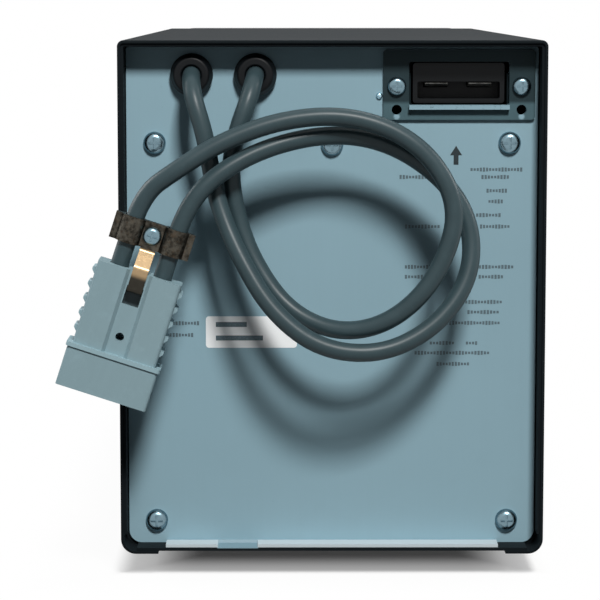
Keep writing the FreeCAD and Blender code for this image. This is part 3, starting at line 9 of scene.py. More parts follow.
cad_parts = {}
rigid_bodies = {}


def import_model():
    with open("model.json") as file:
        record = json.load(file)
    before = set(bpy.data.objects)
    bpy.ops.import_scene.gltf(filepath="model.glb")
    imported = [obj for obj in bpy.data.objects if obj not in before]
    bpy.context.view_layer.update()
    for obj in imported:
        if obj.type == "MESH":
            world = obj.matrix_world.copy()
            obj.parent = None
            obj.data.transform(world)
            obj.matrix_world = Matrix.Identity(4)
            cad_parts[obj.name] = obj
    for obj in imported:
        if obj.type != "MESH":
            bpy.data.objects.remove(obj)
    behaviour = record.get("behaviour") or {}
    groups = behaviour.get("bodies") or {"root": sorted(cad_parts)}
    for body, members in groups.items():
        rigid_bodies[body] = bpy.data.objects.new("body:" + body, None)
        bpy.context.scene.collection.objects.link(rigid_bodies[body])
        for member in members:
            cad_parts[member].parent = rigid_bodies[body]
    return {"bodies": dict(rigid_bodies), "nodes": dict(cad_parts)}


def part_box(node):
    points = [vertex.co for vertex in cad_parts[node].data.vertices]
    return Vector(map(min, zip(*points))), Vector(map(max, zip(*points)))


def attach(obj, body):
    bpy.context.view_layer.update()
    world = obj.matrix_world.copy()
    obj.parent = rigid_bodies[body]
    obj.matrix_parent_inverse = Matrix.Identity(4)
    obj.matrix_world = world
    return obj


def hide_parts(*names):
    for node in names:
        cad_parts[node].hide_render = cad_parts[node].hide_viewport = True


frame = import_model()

bl_info = {
    "name": "Battery Pack Looks",
    "version": (1, 0, 0),
    "blender": (4, 5, 0),
    "location": "3D Viewport > Sidebar > Battery Pack",
    "description": "Leads, print, finishes and studio for the battery pack's solids",
    "category": "Object",
}

NODES = frame["nodes"]
BODY = next(iter(frame["bodies"]))
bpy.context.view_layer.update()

CASING_LOW, CASING_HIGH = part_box("cover")
PANEL_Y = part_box("socket_bracket")[1].y
PLUG_TILT = math.radians(18.0)
PLUG_FROM_LEFT_LEAD = Vector((-0.0187, -0.0345, -0.0751))
POLE_PITCH = 0.0175
LEAD_SEAT = 0.007

# Corners of each free lead's route, from the point where it leaves the panel.
LEFT_ROUTE = [
    (0.0, 0.0, 0.0), (0.0, -0.012, 0.0), (0.0012, -0.021, -0.008), (0.0059, -0.0235, -0.0228),
    (0.0082, -0.023, -0.0365), (0.0118, -0.026, -0.0524), (0.0201, -0.033, -0.071),
    (0.0322, -0.039, -0.0906), (0.0505, -0.042, -0.1047), (0.0734, -0.0405, -0.1073),
    (0.0933, -0.037, -0.0987), (0.1071, -0.032, -0.0832), (0.1112, -0.027, -0.0657),
    (0.1058, -0.0245, -0.0478), (0.0912, -0.024, -0.0333), (0.0728, -0.0245, -0.0241),
    (0.0525, -0.025, -0.0223), (0.0291, -0.0285, -0.0276), (0.0101, -0.033, -0.0378),
]
RIGHT_ROUTE = [
    (0.0, 0.0, 0.0), (0.0, -0.012, 0.0), (-0.002, -0.021, -0.008), (-0.0074, -0.0225, -0.0228),
    (-0.0098, -0.0205, -0.0367), (-0.0075, -0.0195, -0.0541), (-0.0008, -0.022, -0.0725),
    (0.0122, -0.027, -0.0909), (0.0302, -0.0325, -0.0993), (0.0485, -0.036, -0.0971),
    (0.0647, -0.037, -0.0854), (0.0751, -0.036, -0.0679), (0.0786, -0.0345, -0.0501),
    (0.0704, -0.033, -0.0328), (0.0549, -0.032, -0.0204), (0.034, -0.0315, -0.0146),
    (0.0103, -0.0325, -0.0165), (-0.0129, -0.0345, -0.0249), (-0.0302, -0.0365, -0.0357),
]
# The last corners, behind the plug's rear face: how far back, and how far off the chamber's axis.
PLUG_CORNERS = ((0.029, 0.00045), (0.006, 0.0), (-LEAD_SEAT, 0.0))

# Bare metal and painted highlights on the bracket, from the middle of its foot: where the lip turns bare
# and takes a painted highlight, how far aside and how high the bare, highlit spots under its lower holes
# are, and where it turns darker towards the top.
BRACKET_LIP_WEAR_AND_GLINT = (-0.0022, -0.0032)
BRACKET_HOLE_WEAR_AND_GLINTS = (0.0249, 0.0013)
BRACKET_DARK = (0.0058, 0.0078)

# Painted highlights and painted shade on the plug, from the middle of its rear face: painted highlights
# on the ridge and the outer side of the ribs, and painted shade in the slot.
PLUG_RIDGE = -0.0344
PLUG_RIBS_ASIDE = 0.0172
PLUG_SLOT = -0.0097
PLUG_SLOT_HALF = (0.0033, 0.0037)

# Along the clamp from its screw: where the bright strip starts, and where it ends in the hook.
CLAMP_STRIP = (-0.0053, -0.0064)
CLAMP_HOOK = (-0.0150, -0.0175)

# The panel's lower fold is painted paler between these, a painted highlight where the light falls on its
# upward face; the chassis floor shows in its notch.
PANEL_FOLD_HIGHLIGHT = (PANEL_Y - 0.0006, PANEL_Y - 0.0016)
NOTCH_MIDDLE = -0.038
NOTCH_HALF = 0.0080
CHASSIS_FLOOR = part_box("chassis")[0].z + 0.0011

# Print on the rear panel: across the panel, and above the floor.
LABEL_MIDDLE = (-0.03245, 0.0987)
LABEL_CORNER = 0.0012
ARROW_TIP = (0.0496, 0.1738)
# Each row of the label: its height over the label's middle, its start and its end from the left edge.
LABEL_ROWS = ((0.0031, 0.0040, 0.0165), (-0.0024, 0.0040, 0.0230))
LABEL_ROW_HALF = 0.0010
# Each row of the panel: its height above the casing's underside, then the spans that it fills.
PANEL_ROWS = (
    (0.1543, ((0.0554, 0.0765),)), (0.1513, ((0.0270, 0.0383), (0.0598, 0.0712))),
    (0.1458, ((0.0619, 0.0704),)), (0.1415, ((0.0627, 0.0688),)),
    (0.1360, ((0.0578, 0.0680),)), (0.1314, ((0.0293, 0.0436), (0.0594, 0.0716))),
    (0.1151, ((0.0293, 0.0415), (0.0590, 0.0733))), (0.1111, ((0.0293, 0.0395), (0.0590, 0.0692))),
    (0.1009, ((0.0537, 0.0688),)), (0.0968, ((0.0546, 0.0676),)), (0.0924, ((0.0436, 0.0680),)),
    (0.0842, ((0.0395, 0.0497), (0.0541, 0.0590))), (0.0802, ((0.0334, 0.0639),)),
    (0.0757, ((0.0423, 0.0558),)),
    (0.0923, ((-0.0655, -0.0532),)), (0.0875, ((-0.0655, -0.0556),)),
)

# Studio: where the camera stands, its turn about the vertical, the height that the lamps aim at, and
# how far outside the casing's sides the floor's painted glow starts to whiten the shadow.
CAMERA_PLACE = (-0.0154, -1.2195, 0.2319)
CAMERA_TURN = math.radians(-0.144)
AIM_HEIGHT = 0.11
SHADOW_ASIDE = 0.012
WHITE = (1.0, 1.0, 1.0, 1.0)


# ---- sizes and colours ----------------------------------------------------------------------
def colour(name, description, value):
    """A colour that the sidebar shows."""
    return FloatVectorProperty(name=name, description=description, default=value, size=3,
                               min=0.0, max=1.0, subtype="COLOR")


class PackColours(bpy.types.PropertyGroup):
    """Colours of the pack's finishes."""

    cover: colour("Cover", "Powder coat of the casing", (0.0075, 0.0105, 0.0125))
    panel: colour("Panel", "Coated sheet of the rear panel", (0.27, 0.418, 0.49))
    bracket: colour("Bracket", "Dark plate round the socket", (0.07, 0.125, 0.145))
    plug: colour("Plug", "Moulded plug housing", (0.235, 0.345, 0.386))
    socket: colour("Socket", "Moulded socket housing", (0.004, 0.005, 0.006))
    lead: colour("Lead", "Jacket of the free leads", (0.035, 0.060, 0.069))
    bushing: colour("Bushing", "Strain reliefs of the leads", (0.003, 0.004, 0.005))
    zinc: colour("Zinc", "Plated screws", (0.20, 0.30, 0.35))
    clamp: colour("Clamp", "Oiled steel of the lead clamp", (0.036, 0.033, 0.027))
    tongue: colour("Tongue", "Bright strip of the lead clamp", (0.37, 0.262, 0.15))
    label: colour("Label", "Blank paper label", (0.93, 0.96, 0.98))
    print_ink: colour("Print", "Ink of the rows", (0.085, 0.125, 0.145))
    arrow_ink: colour("Arrow", "Ink of the arrow", (0.014, 0.022, 0.026))
    floor: colour("Floor", "Studio floor", (0.80, 0.80, 0.80))


class PrintSizes(bpy.types.PropertyGroup):
    """Sizes of what is printed on, or stuck to, the rear panel."""

    label_width: FloatProperty(name="Label width", description="Width of the label",
                               default=0.0367, min=0.01, max=0.08, unit="LENGTH")
    label_height: FloatProperty(name="Label height", description="Height of the label",
                                default=0.0128, min=0.005, max=0.05, unit="LENGTH")
    label_sheet: FloatProperty(name="Label thickness", description="Thickness of the label",
                               default=0.00012, min=0.00005, max=0.001, unit="LENGTH")
    ink: FloatProperty(name="Ink thickness", description="Thickness of the printed ink",
                       default=0.00004, min=0.00001, max=0.0005, unit="LENGTH")
    row_height: FloatProperty(name="Row height", description="Height of a printed row",
                              default=0.0015, min=0.0005, max=0.01, unit="LENGTH")
    mark_pitch: FloatProperty(name="Mark pitch", description="From one printed mark to the next",
                              default=0.00125, min=0.0005, max=0.01, unit="LENGTH")
    arrow_height: FloatProperty(name="Arrow height", description="Height of the arrow over the rows",
                                default=0.0076, min=0.002, max=0.03, unit="LENGTH")


class LeadSizes(bpy.types.PropertyGroup):
    """Sizes of the two free leads."""

    diameter: FloatProperty(name="Diameter", description="Outside diameter of a lead",
                            default=0.0072, min=0.003, max=0.02, unit="LENGTH")
    rings: IntProperty(name="Ring resolution", description="Facets of a lead's surface per quarter",
                       default=5, min=2, max=12)


class StudioSettings(bpy.types.PropertyGroup):
    """Camera and light of the studio."""

    lens: FloatProperty(name="Lens", description="Focal length on a 36 mm sensor",
                        default=151.8, min=20, max=300, unit="CAMERA")
    tilt: FloatProperty(name="Tilt", description="How far the camera looks down",
                        default=math.radians(6.773), min=0.0, max=1.0, unit="ROTATION")
    key: FloatProperty(name="Key light", description="Power of the lamp above the rear panel",
                       default=75.0, min=0.0, max=500.0, unit="POWER")
    fill: FloatProperty(name="Fill light", description="Power of the soft lamp beside the camera",
                        default=0.4, min=0.0, max=500.0, unit="POWER")
    back: FloatProperty(name="Back lights", description="Power of each lamp for the front and the sides",
                        default=14.0, min=0.0, max=500.0, unit="POWER")
    ambient: FloatProperty(name="Ambient", description="Brightness of the room",
                           default=0.015, min=0.0, max=2.0)


# ---- finishes -------------------------------------------------------------------------------
class Wire:
    """A socket in a shader expression; arithmetic on wires adds Math nodes."""

    def __init__(self, finish, socket):
        self.finish = finish
        self.socket = socket

    def math(self, operation, *values):
        return self.finish.node("ShaderNodeMath", {"operation": operation}, dict(enumerate(values)))

    def __add__(self, other):
        return self.math("ADD", self, other)

    def __radd__(self, other):
        return self.math("ADD", other, self)

    def __sub__(self, other):
        return self.math("SUBTRACT", self, other)

    def __rsub__(self, other):
        return self.math("SUBTRACT", other, self)

    def __mul__(self, other):
        return self.math("MULTIPLY", self, other)

    def __rmul__(self, other):
        return self.math("MULTIPLY", other, self)

    def __pow__(self, other):
        return self.math("POWER", self, other)

    def most(self, other):
        """The larger of the two."""
        return self.math("MAXIMUM", self, other)

    def size(self):
        """The value without its sign."""
        return self.math("ABSOLUTE", self)

    def ramp(self, low, high, out_low=0.0, out_high=1.0):
        """A smooth step from one level to another."""
        values = {"Value": self, "From Min": low, "From Max": high,
                  "To Min": out_low, "To Max": out_high}
        return self.finish.node("ShaderNodeMapRange", {"interpolation_type": "SMOOTHSTEP"}, values)


class Finish:
    """One kind of surface: a Principled shader and the nodes that vary it."""

    def __init__(self, name, base, roughness, **fixed):
        self.material = bpy.data.materials.new(name)
        self.material.use_nodes = True
        self.tree = self.material.node_tree
        self.shader = self.tree.nodes["Principled BSDF"]
        self.feed("Base Color", (*base, 1.0))
        self.feed("Roughness", roughness)
        for socket, value in fixed.items():
            self.feed(socket.replace("_", " ").title().replace("Ior", "IOR"), value)

    def join(self, socket, value):
        """Links a wire to a socket, or sets the socket to a plain value."""
        if isinstance(value, Wire):
            self.tree.links.new(value.socket, socket)
        else:
            socket.default_value = value

    def feed(self, socket, value):
        """Sets a socket of the shader, or links it to what varies over the surface."""
        self.join(self.shader.inputs[socket], value)

    def node(self, kind, settings=None, values=None, output=0):
        """Adds a node: its settings first, then the values or wires of its sockets."""
        added = self.tree.nodes.new(kind)
        for name, value in (settings or {}).items():
            setattr(added, name, value)
        for socket, value in (values or {}).items():
            self.join(added.inputs[socket], value)
        return Wire(self, added.outputs[output])

    def place(self, origin=(0.0, 0.0, 0.0), turn=(0.0, 0.0, 0.0), stretch=(1.0, 1.0, 1.0)):
        """Object coordinates measured from an origin along turned axes, then stretched."""
        point = self.node("ShaderNodeTexCoord", output="Object")
        moved = self.node("ShaderNodeMapping", {"vector_type": "TEXTURE"},
                          {"Vector": point, "Location": origin, "Rotation": turn})
        return self.node("ShaderNodeMapping", {"vector_type": "POINT"},
                         {"Vector": moved, "Scale": stretch})

    def axis(self, point, name):
        """One coordinate of a point."""
        return self.node("ShaderNodeSeparateXYZ", values={"Vector": point}, output=name)

    def noise(self, point, size, detail=2.0, roughness=0.5, distortion=0.0):
        """Soft noise whose lumps are about the given size, from 0 to 1."""
        values = {"Vector": point, "Scale": 1.0 / size, "Detail": detail, "Roughness": roughness,
                  "Distortion": distortion}
        return self.node("ShaderNodeTexNoise", values=values)

    def cells(self, point, size, output="Distance"):
        """Cells of about the given size."""
        values = {"Vector": point, "Scale": 1.0 / size}
        return self.node("ShaderNodeTexVoronoi", values=values, output=output)

    def blend(self, amount, first, second):
        """Colour mix; a plain colour is an RGB tuple."""
        pair = [(*tone, 1.0) if isinstance(tone, tuple) else tone for tone in (first, second)]
        values = {0: amount, 6: pair[0], 7: pair[1]}
        return self.node("ShaderNodeMix", {"data_type": "RGBA"}, values, output=2)

    def emboss(self, height, distance, strength):
        """Bump from a height between 0 and 1, for texture too fine to model."""
        values = {"Strength": strength, "Distance": distance, "Height": height}
        self.feed("Normal", self.node("ShaderNodeBump", values=values))


def shade(base, factor):
    """The same colour, lighter or darker."""
    return tuple(min(1.0, channel * factor) for channel in base)


def pale(base, amount):
    """A colour taken towards white by the given share."""
    return tuple(part + (1.0 - part) * amount for part in base)


def powder_coat(name, base):
    """Powder coat: fine orange peel, faint mottling and scuffs."""
    finish = Finish(name, base, 0.66, specular_ior_level=0.035)
    point = finish.place()
    peel = finish.noise(point, 0.0011, 3.0)
    grain = finish.noise(point, 0.00035, 2.0)
    cloud = finish.noise(point, 0.045, 4.0, 0.6)
    scuff = finish.noise(finish.place(stretch=(1.0, 0.12, 1.0)), 0.006, 5.0, 0.7).ramp(0.62, 0.78)
    tone = finish.blend(cloud, shade(base, 0.8), shade(base, 1.3))
    finish.feed("Base Color", finish.blend(scuff * 0.35, tone, shade(base, 3.2)))
    finish.feed("Roughness", 0.61 + cloud * 0.08 + scuff * 0.1 + grain * 0.05)
    finish.emboss(peel * 0.7 + grain * 0.3, 0.00012, 0.6)
    return finish.material


def tray_paint(name, base, bare):
    """Paint of the chassis, masked off where its floor shows in the notch of the panel's fold."""
    finish = Finish(name, base, 0.5, specular_ior_level=0.035)
    point = finish.place()
    cloud = finish.noise(point, 0.045, 4.0, 0.6)
    peel = finish.noise(point, 0.0011, 3.0)
    notch = (finish.axis(point, "X") - NOTCH_MIDDLE).size().ramp(NOTCH_HALF + 0.0004, NOTCH_HALF)
    notch = notch * finish.axis(point, "Y").ramp(PANEL_Y, PANEL_Y - 0.0002)
    notch = notch * finish.axis(point, "Z").ramp(CHASSIS_FLOOR - 0.0002, CHASSIS_FLOOR)
    tone = finish.blend(cloud, shade(base, 0.8), shade(base, 1.3))
    finish.feed("Base Color", finish.blend(notch, tone, shade(bare, 0.8)))
    finish.feed("Roughness", 0.47 + cloud * 0.08)
    finish.emboss(peel, 0.00012, 0.6)
    return finish.material


def coated_sheet(name, base):
    """Satin coil-coated sheet: rolling streaks, smudges and specks, with a painted highlight that makes
    the lower fold paler.
    """
    finish = Finish(name, base, 0.45, specular_ior_level=0.12)
    point = finish.place()
    streak = finish.noise(finish.place(stretch=(1.0, 1.0, 0.035)), 0.0016, 3.0, 0.6)
    cloud = finish.noise(point, 0.06, 3.0, 0.5)
    smudge = finish.noise(point, 0.02, 5.0, 0.65, 0.6).ramp(0.5, 0.75)
    grain = finish.noise(point, 0.0005, 2.0)
    specks = finish.noise(point, 0.0028, 2.0).ramp(0.74, 0.8)
    tone = finish.blend(cloud, shade(base, 0.95), shade(base, 1.05))
    tone = finish.blend(streak * 0.25, tone, shade(base, 0.9))
    tone = finish.blend(specks * 0.25, tone, shade(base, 0.6))
    tone = finish.blend(smudge * 0.12, tone, shade(base, 0.82))
    # Painted highlight: the lower fold, which faces up into the key light, is taken towards white.
    fold = finish.axis(point, "Y").ramp(*PANEL_FOLD_HIGHLIGHT)
    finish.feed("Base Color", finish.blend(fold * 0.7, tone, pale(base, 0.6)))
    finish.feed("Roughness", 0.34 + smudge * 0.12 + streak * 0.06 + cloud * 0.05)
    finish.emboss(grain * 0.6 + streak * 0.4, 0.00004, 0.5)
    return finish.material


def coated_bracket(name, base, bare):
    """Coat of the socket's bracket: darker above its lower strip, with bare metal and a painted
    highlight along the lip and under its lower holes.
    """
    finish = Finish(name, base, 0.45, specular_ior_level=0.1)
    low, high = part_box("socket_bracket")
    point = finish.place(origin=((low.x + high.x) / 2, high.y, low.z))
    peel = finish.noise(point, 0.0011, 3.0)
    cloud = finish.noise(point, 0.01, 4.0, 0.6)
    chips = finish.noise(point, 0.0016, 4.0, 0.7)
    # Bare metal and painted highlight: the lip under the opening and a spot under each lower hole take
    # the pale bare colour where light catches them.
    lip = finish.axis(point, "Y").ramp(*BRACKET_LIP_WEAR_AND_GLINT)
    aside, rise = BRACKET_HOLE_WEAR_AND_GLINTS
    beside = finish.axis(point, "X").size() - aside
    above = finish.axis(point, "Z") - rise
    spots = ((beside * beside + above * above) ** 0.5).ramp(0.0016, 0.0007)
    wear_and_glint = lip.most(spots) * chips.ramp(0.25, 0.45)
    upper = finish.axis(point, "Z").ramp(*BRACKET_DARK)
    tone = finish.blend(cloud, shade(base, 0.85), shade(base, 1.15))
    tone = finish.blend(upper, tone, shade(base, 0.28))
    finish.feed("Base Color", finish.blend(wear_and_glint, tone, bare))
    finish.feed("Roughness", 0.42 + cloud * 0.1 - wear_and_glint * 0.1)
    finish.emboss(peel * 0.6 + chips * 0.4, 0.0001, 0.6)
    return finish.material


def plug_plastic(name, base):
    """Moulded plug: eroded texture and rubbed patches, painted highlights on the ridge and ribs, and
    painted shade deep in the slot.
    """
    finish = Finish(name, base, 0.5, specular_ior_level=0.3)
    turn = (0.0, PLUG_TILT, 0.0)
    point = finish.place(origin=tuple(plug_place().translation), turn=turn)
    along, across, out = (finish.axis(point, letter) for letter in "ZXY")
    spark = finish.noise(point, 0.0005, 3.0, 0.6)
    flow = finish.noise(finish.place(turn=turn, stretch=(1.0, 1.0, 0.2)), 0.006, 4.0, 0.55, 0.8)
    rubbed = finish.noise(point, 0.006, 5.0, 0.7).ramp(0.5, 0.72)
    # Painted highlight along the ridge and on the outer side of the ribs, where their edges catch the
    # light.
    ridge = (along - PLUG_RIDGE).size().ramp(0.0014, 0.0006)
    ribs = across.size().ramp(PLUG_RIBS_ASIDE, PLUG_RIBS_ASIDE + 0.001) * along.ramp(-0.034, -0.032)
    half_width, half_length = PLUG_SLOT_HALF
    # Painted shade: the bottom of the slot is darkened where light does not reach into it.
    slot = across.size().ramp(half_width + 0.0003, half_width)
    slot = slot * (along - PLUG_SLOT).size().ramp(half_length + 0.0003, half_length)
    slot = slot * out.ramp(-0.0052, -0.0048)
    tone = finish.blend(flow, shade(base, 0.94), shade(base, 1.06))
    tone = finish.blend(rubbed * 0.15 + ridge.most(ribs) * 0.55, tone, shade(base, 1.45))
    finish.feed("Base Color", finish.blend(slot * 0.9, tone, shade(base, 0.12)))
    finish.feed("Roughness", 0.46 + flow * 0.08 - rubbed * 0.06 + spark * 0.05)
    finish.emboss(spark * 0.75 + flow * 0.25, 0.00007, 0.7)
    return finish.material


def moulded(name, base, gloss=0.45, grain_size=0.0006, depth=0.00006):
    """Moulded plastic: spark-eroded texture, flow marks and rubbed patches."""
    finish = Finish(name, base, gloss, specular_ior_level=0.15)
    point = finish.place()
    spark = finish.noise(point, grain_size, 3.0, 0.6)
    flow = finish.noise(finish.place(stretch=(1.0, 1.0, 0.2)), 0.006, 4.0, 0.55, 0.8)
    rubbed = finish.noise(point, 0.007, 5.0, 0.7).ramp(0.56, 0.74)
    tone = finish.blend(flow, shade(base, 0.93), shade(base, 1.07))
    finish.feed("Base Color", finish.blend(rubbed * 0.18, tone, shade(base, 1.28)))
    finish.feed("Roughness", gloss - 0.04 + flow * 0.08 - rubbed * 0.06 + spark * 0.05)
    finish.emboss(spark * 0.75 + flow * 0.25, depth, 0.7)
    return finish.material


def plated(name, base, gloss=0.2):
    """Zinc plate: bright metal with a clouded blue passivation and fine scratches."""
    finish = Finish(name, base, gloss, metallic=1.0)
    point = finish.place()
    cloud = finish.noise(point, 0.0035, 4.0, 0.6)
    brushed = finish.place(turn=(0.0, 0.5, 0.0), stretch=(0.06, 1.0, 1.0))
    scratch = finish.noise(brushed, 0.00025, 3.0, 0.6)
    spots = finish.noise(point, 0.0012, 3.0, 0.7).ramp(0.6, 0.72)
    tone = finish.blend(cloud, base, shade(base, 0.78))
    finish.feed("Base Color", finish.blend(spots * 0.5, tone, shade(base, 0.45)))
    finish.feed("Roughness", gloss + cloud * 0.12 + spots * 0.15)
    finish.emboss(scratch * 0.6 + cloud * 0.4, 0.00002, 0.5)
    return finish.material


def galvanised(name, base):
    """Galvanised sheet of the inner brackets, with its crystal spangle."""
    finish = Finish(name, base, 0.4, metallic=1.0)
    point = finish.place()
    spangle = finish.cells(point, 0.006, output="Color")
    grey = finish.node("ShaderNodeRGBToBW", values={"Color": spangle})
    fine = finish.noise(point, 0.0009, 3.0, 0.6)
    finish.feed("Base Color", finish.blend(grey, shade(base, 0.72), shade(base, 1.15)))
    finish.feed("Roughness", 0.32 + grey * 0.16 + fine * 0.08)
    finish.emboss(fine * 0.5 + grey * 0.5, 0.00003, 0.4)
    return finish.material


def lead_jacket(name, base):
    """Soft vinyl jacket: mottling, handling marks and a low gloss."""
    finish = Finish(name, base, 0.37, specular_ior_level=0.2, coat_roughness=0.35)
    point = finish.place()
    mottle = finish.noise(point, 0.008, 4.0, 0.6)
    fine = finish.noise(point, 0.0007, 3.0, 0.6)
    marks = finish.noise(point, 0.0035, 5.0, 0.7, 0.5).ramp(0.58, 0.72)
    tone = finish.blend(mottle, shade(base, 0.85), shade(base, 1.15))
    finish.feed("Base Color", finish.blend(marks * 0.3, tone, shade(base, 1.35)))
    finish.feed("Roughness", 0.34 + mottle * 0.08 + marks * 0.12)
    finish.feed("Coat Weight", mottle * 0.08)
    finish.emboss(fine * 0.5 + mottle * 0.5, 0.00008, 0.5)
    return finish.material


def foam(name, base):
    """Closed-cell foam of the pads."""
    finish = Finish(name, base, 0.95, specular_ior_level=0.15)
    point = finish.place()
    cells = finish.cells(point, 0.0011)
    cloud = finish.noise(point, 0.012, 3.0)
    tone = finish.blend(cells.ramp(0.15, 0.6), shade(base, 1.25), shade(base, 0.45))
    finish.feed("Base Color", finish.blend(cloud * 0.3, tone, shade(base, 0.7)))
    finish.feed("Roughness", 0.88 + cloud * 0.1)
    finish.emboss(1.0 - cells, 0.0004, 0.9)
    return finish.material


def rubber(name, base):
    """Matt rubber of the feet, with dust in its pores."""
    finish = Finish(name, base, 0.8, specular_ior_level=0.3)
    point = finish.place()
    pores = finish.noise(point, 0.0008, 4.0, 0.7)
    dust = finish.noise(point, 0.006, 4.0, 0.6).ramp(0.5, 0.8)
    finish.feed("Base Color", finish.blend(dust * 0.5, base, shade(base, 2.6)))
    finish.feed("Roughness", 0.72 + pores * 0.15)
    finish.emboss(pores, 0.00015, 0.7)
    return finish.material


def cast_metal(name, base, gloss):
    """Dull terminals and links with tarnish and rubbed spots."""
    finish = Finish(name, base, gloss, metallic=1.0)
    point = finish.place()
    tarnish = finish.noise(point, 0.003, 5.0, 0.65).ramp(0.42, 0.68)
    brushed = finish.noise(finish.place(stretch=(1.0, 0.05, 1.0)), 0.0003, 2.0)
    finish.feed("Base Color", finish.blend(tarnish * 0.6, base, shade(base, 0.42)))
    finish.feed("Roughness", gloss + tarnish * 0.2 + brushed * 0.06)
    finish.emboss(brushed * 0.5 + tarnish * 0.5, 0.00003, 0.5)
    return finish.material


def clamp_steel(name, base, bright):
    """Oiled clamp steel; the strip below the jaws is rubbed to bright yellow plating."""
    low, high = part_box("clamp_screw")
    finish = Finish(name, base, 0.36, metallic=1.0)
    seat = finish.place(origin=tuple((low + high) / 2), turn=(0.0, PLUG_TILT, 0.0))
    along = finish.axis(seat, "Z")
    point = finish.place()
    oil = finish.noise(point, 0.003, 5.0, 0.7)
    rust = finish.noise(point, 0.0016, 4.0, 0.7).ramp(0.5, 0.66)
    fine = finish.noise(point, 0.0005, 3.0, 0.6)
    strip = (along + oil * 0.0012 - 0.0006).ramp(*CLAMP_STRIP)
    hook = along.ramp(*CLAMP_HOOK)
    dark = finish.blend(oil.ramp(0.35, 0.65), shade(base, 0.45), shade(base, 2.2))
    dark = finish.blend(rust * 0.55, dark, (0.055, 0.038, 0.024))
    gold = finish.blend(oil, bright, shade(bright, 0.8))
    gold = finish.blend(hook, gold, shade(base, 0.9))
    finish.feed("Base Color", finish.blend(strip, dark, gold))
    finish.feed("Roughness", 0.3 + oil * 0.15 + rust * 0.15)
    finish.emboss(fine * 0.5 + rust * 0.5, 0.00005, 0.6)
    return finish.material


def paper(name, base):
    """Paper label: faint fibres and a slightly uneven tone."""
    finish = Finish(name, base, 0.55, specular_ior_level=0.35)
    point = finish.place()
    fibre = finish.noise(finish.place(stretch=(0.3, 1.0, 1.0)), 0.0004, 3.0, 0.6)
    cloud = finish.noise(point, 0.01, 3.0)
    finish.feed("Base Color", finish.blend(cloud, shade(base, 0.96), shade(base, 1.03)))
    finish.feed("Roughness", 0.5 + fibre * 0.12)
    finish.emboss(fibre, 0.00002, 0.4)
    return finish.material


def ink(name, base):
    """Screen-printed ink, a little broken where the sheet's grain shows."""
    finish = Finish(name, base, 0.5, specular_ior_level=0.3)
    point = finish.place()
    broken = finish.noise(point, 0.0005, 3.0, 0.7).ramp(0.45, 0.75)
    cloud = finish.noise(point, 0.008, 2.0)
    finish.feed("Base Color", finish.blend(broken * 0.4, base, shade(base, 3.0)))
    finish.feed("Roughness", 0.42 + cloud * 0.12)
    finish.emboss(broken, 0.00001, 0.4)
    return finish.material


def ceramic(name, base):
    """Glazed fuse body, a little uneven, with specks in the glaze."""
    finish = Finish(name, base, 0.3, specular_ior_level=0.5)
    point = finish.place()
    glaze = finish.noise(point, 0.004, 4.0, 0.6)
    specks = finish.noise(point, 0.0009, 2.0).ramp(0.7, 0.76)
    finish.feed("Base Color", finish.blend(specks * 0.4, base, shade(base, 0.6)))
    finish.feed("Roughness", 0.22 + glaze * 0.18)
    finish.emboss(glaze, 0.00006, 0.5)
    return finish.material


def battery_case(name, base):
    """Battery case: eroded mould texture with upright rub marks."""
    finish = Finish(name, base, 0.5, specular_ior_level=0.45)
    point = finish.place()
    spark = finish.noise(point, 0.0009, 3.0, 0.6)
    cloud = finish.noise(point, 0.03, 4.0, 0.6)
    rub = finish.noise(finish.place(stretch=(1.0, 1.0, 0.15)), 0.004, 5.0, 0.7).ramp(0.6, 0.75)
    tone = finish.blend(cloud, shade(base, 0.85), shade(base, 1.15))
    finish.feed("Base Color", finish.blend(rub * 0.3, tone, shade(base, 2.0)))
    finish.feed("Roughness", 0.45 + spark * 0.1 - rub * 0.08)
    finish.emboss(spark, 0.00012, 0.6)
    return finish.material


def dress(material, *names):
    """Gives CAD nodes a finish."""
    for name in names:
        slots = NODES[name].data.materials
        slots.clear()
        slots.append(material)


# ---- pieces ---------------------------------------------------------------------------------
def finished(name, mesh_maker, material):
    """Makes a new mesh piece from a bmesh, in place on the pack."""
    mesh = bpy.data.meshes.new(name)
    shape = bmesh.new()
    mesh_maker(shape)
    bmesh.ops.recalc_face_normals(shape, faces=shape.faces)
    shape.to_mesh(mesh)
    shape.free()
    piece = bpy.data.objects.new(name, mesh)
    bpy.context.scene.collection.objects.link(piece)
    mesh.materials.append(material)
    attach(piece, BODY)


def slab(shape, low, high):
    """Adds a box between two corners."""
    low, high = Vector(low), Vector(high)
    size = high - low
    place = Matrix.Translation((low + high) / 2) @ Matrix.Diagonal((*size, 1.0))
    bmesh.ops.create_cube(shape, size=1.0, matrix=place)


def bushing_exit(side):
    """Where a lead leaves the panel: the middle of its bushing, on the panel's face."""
    low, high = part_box(f"bushing_{side}")
    middle = (low + high) / 2
    return Vector((middle.x, PANEL_Y, middle.z))


def plug_place():
    """The middle of the plug's rear face, with +Z back along the leads."""
    origin = bushing_exit("left") + PLUG_FROM_LEFT_LEAD
    return Matrix.Translation(origin) @ Matrix.Rotation(PLUG_TILT, 4, "Y")


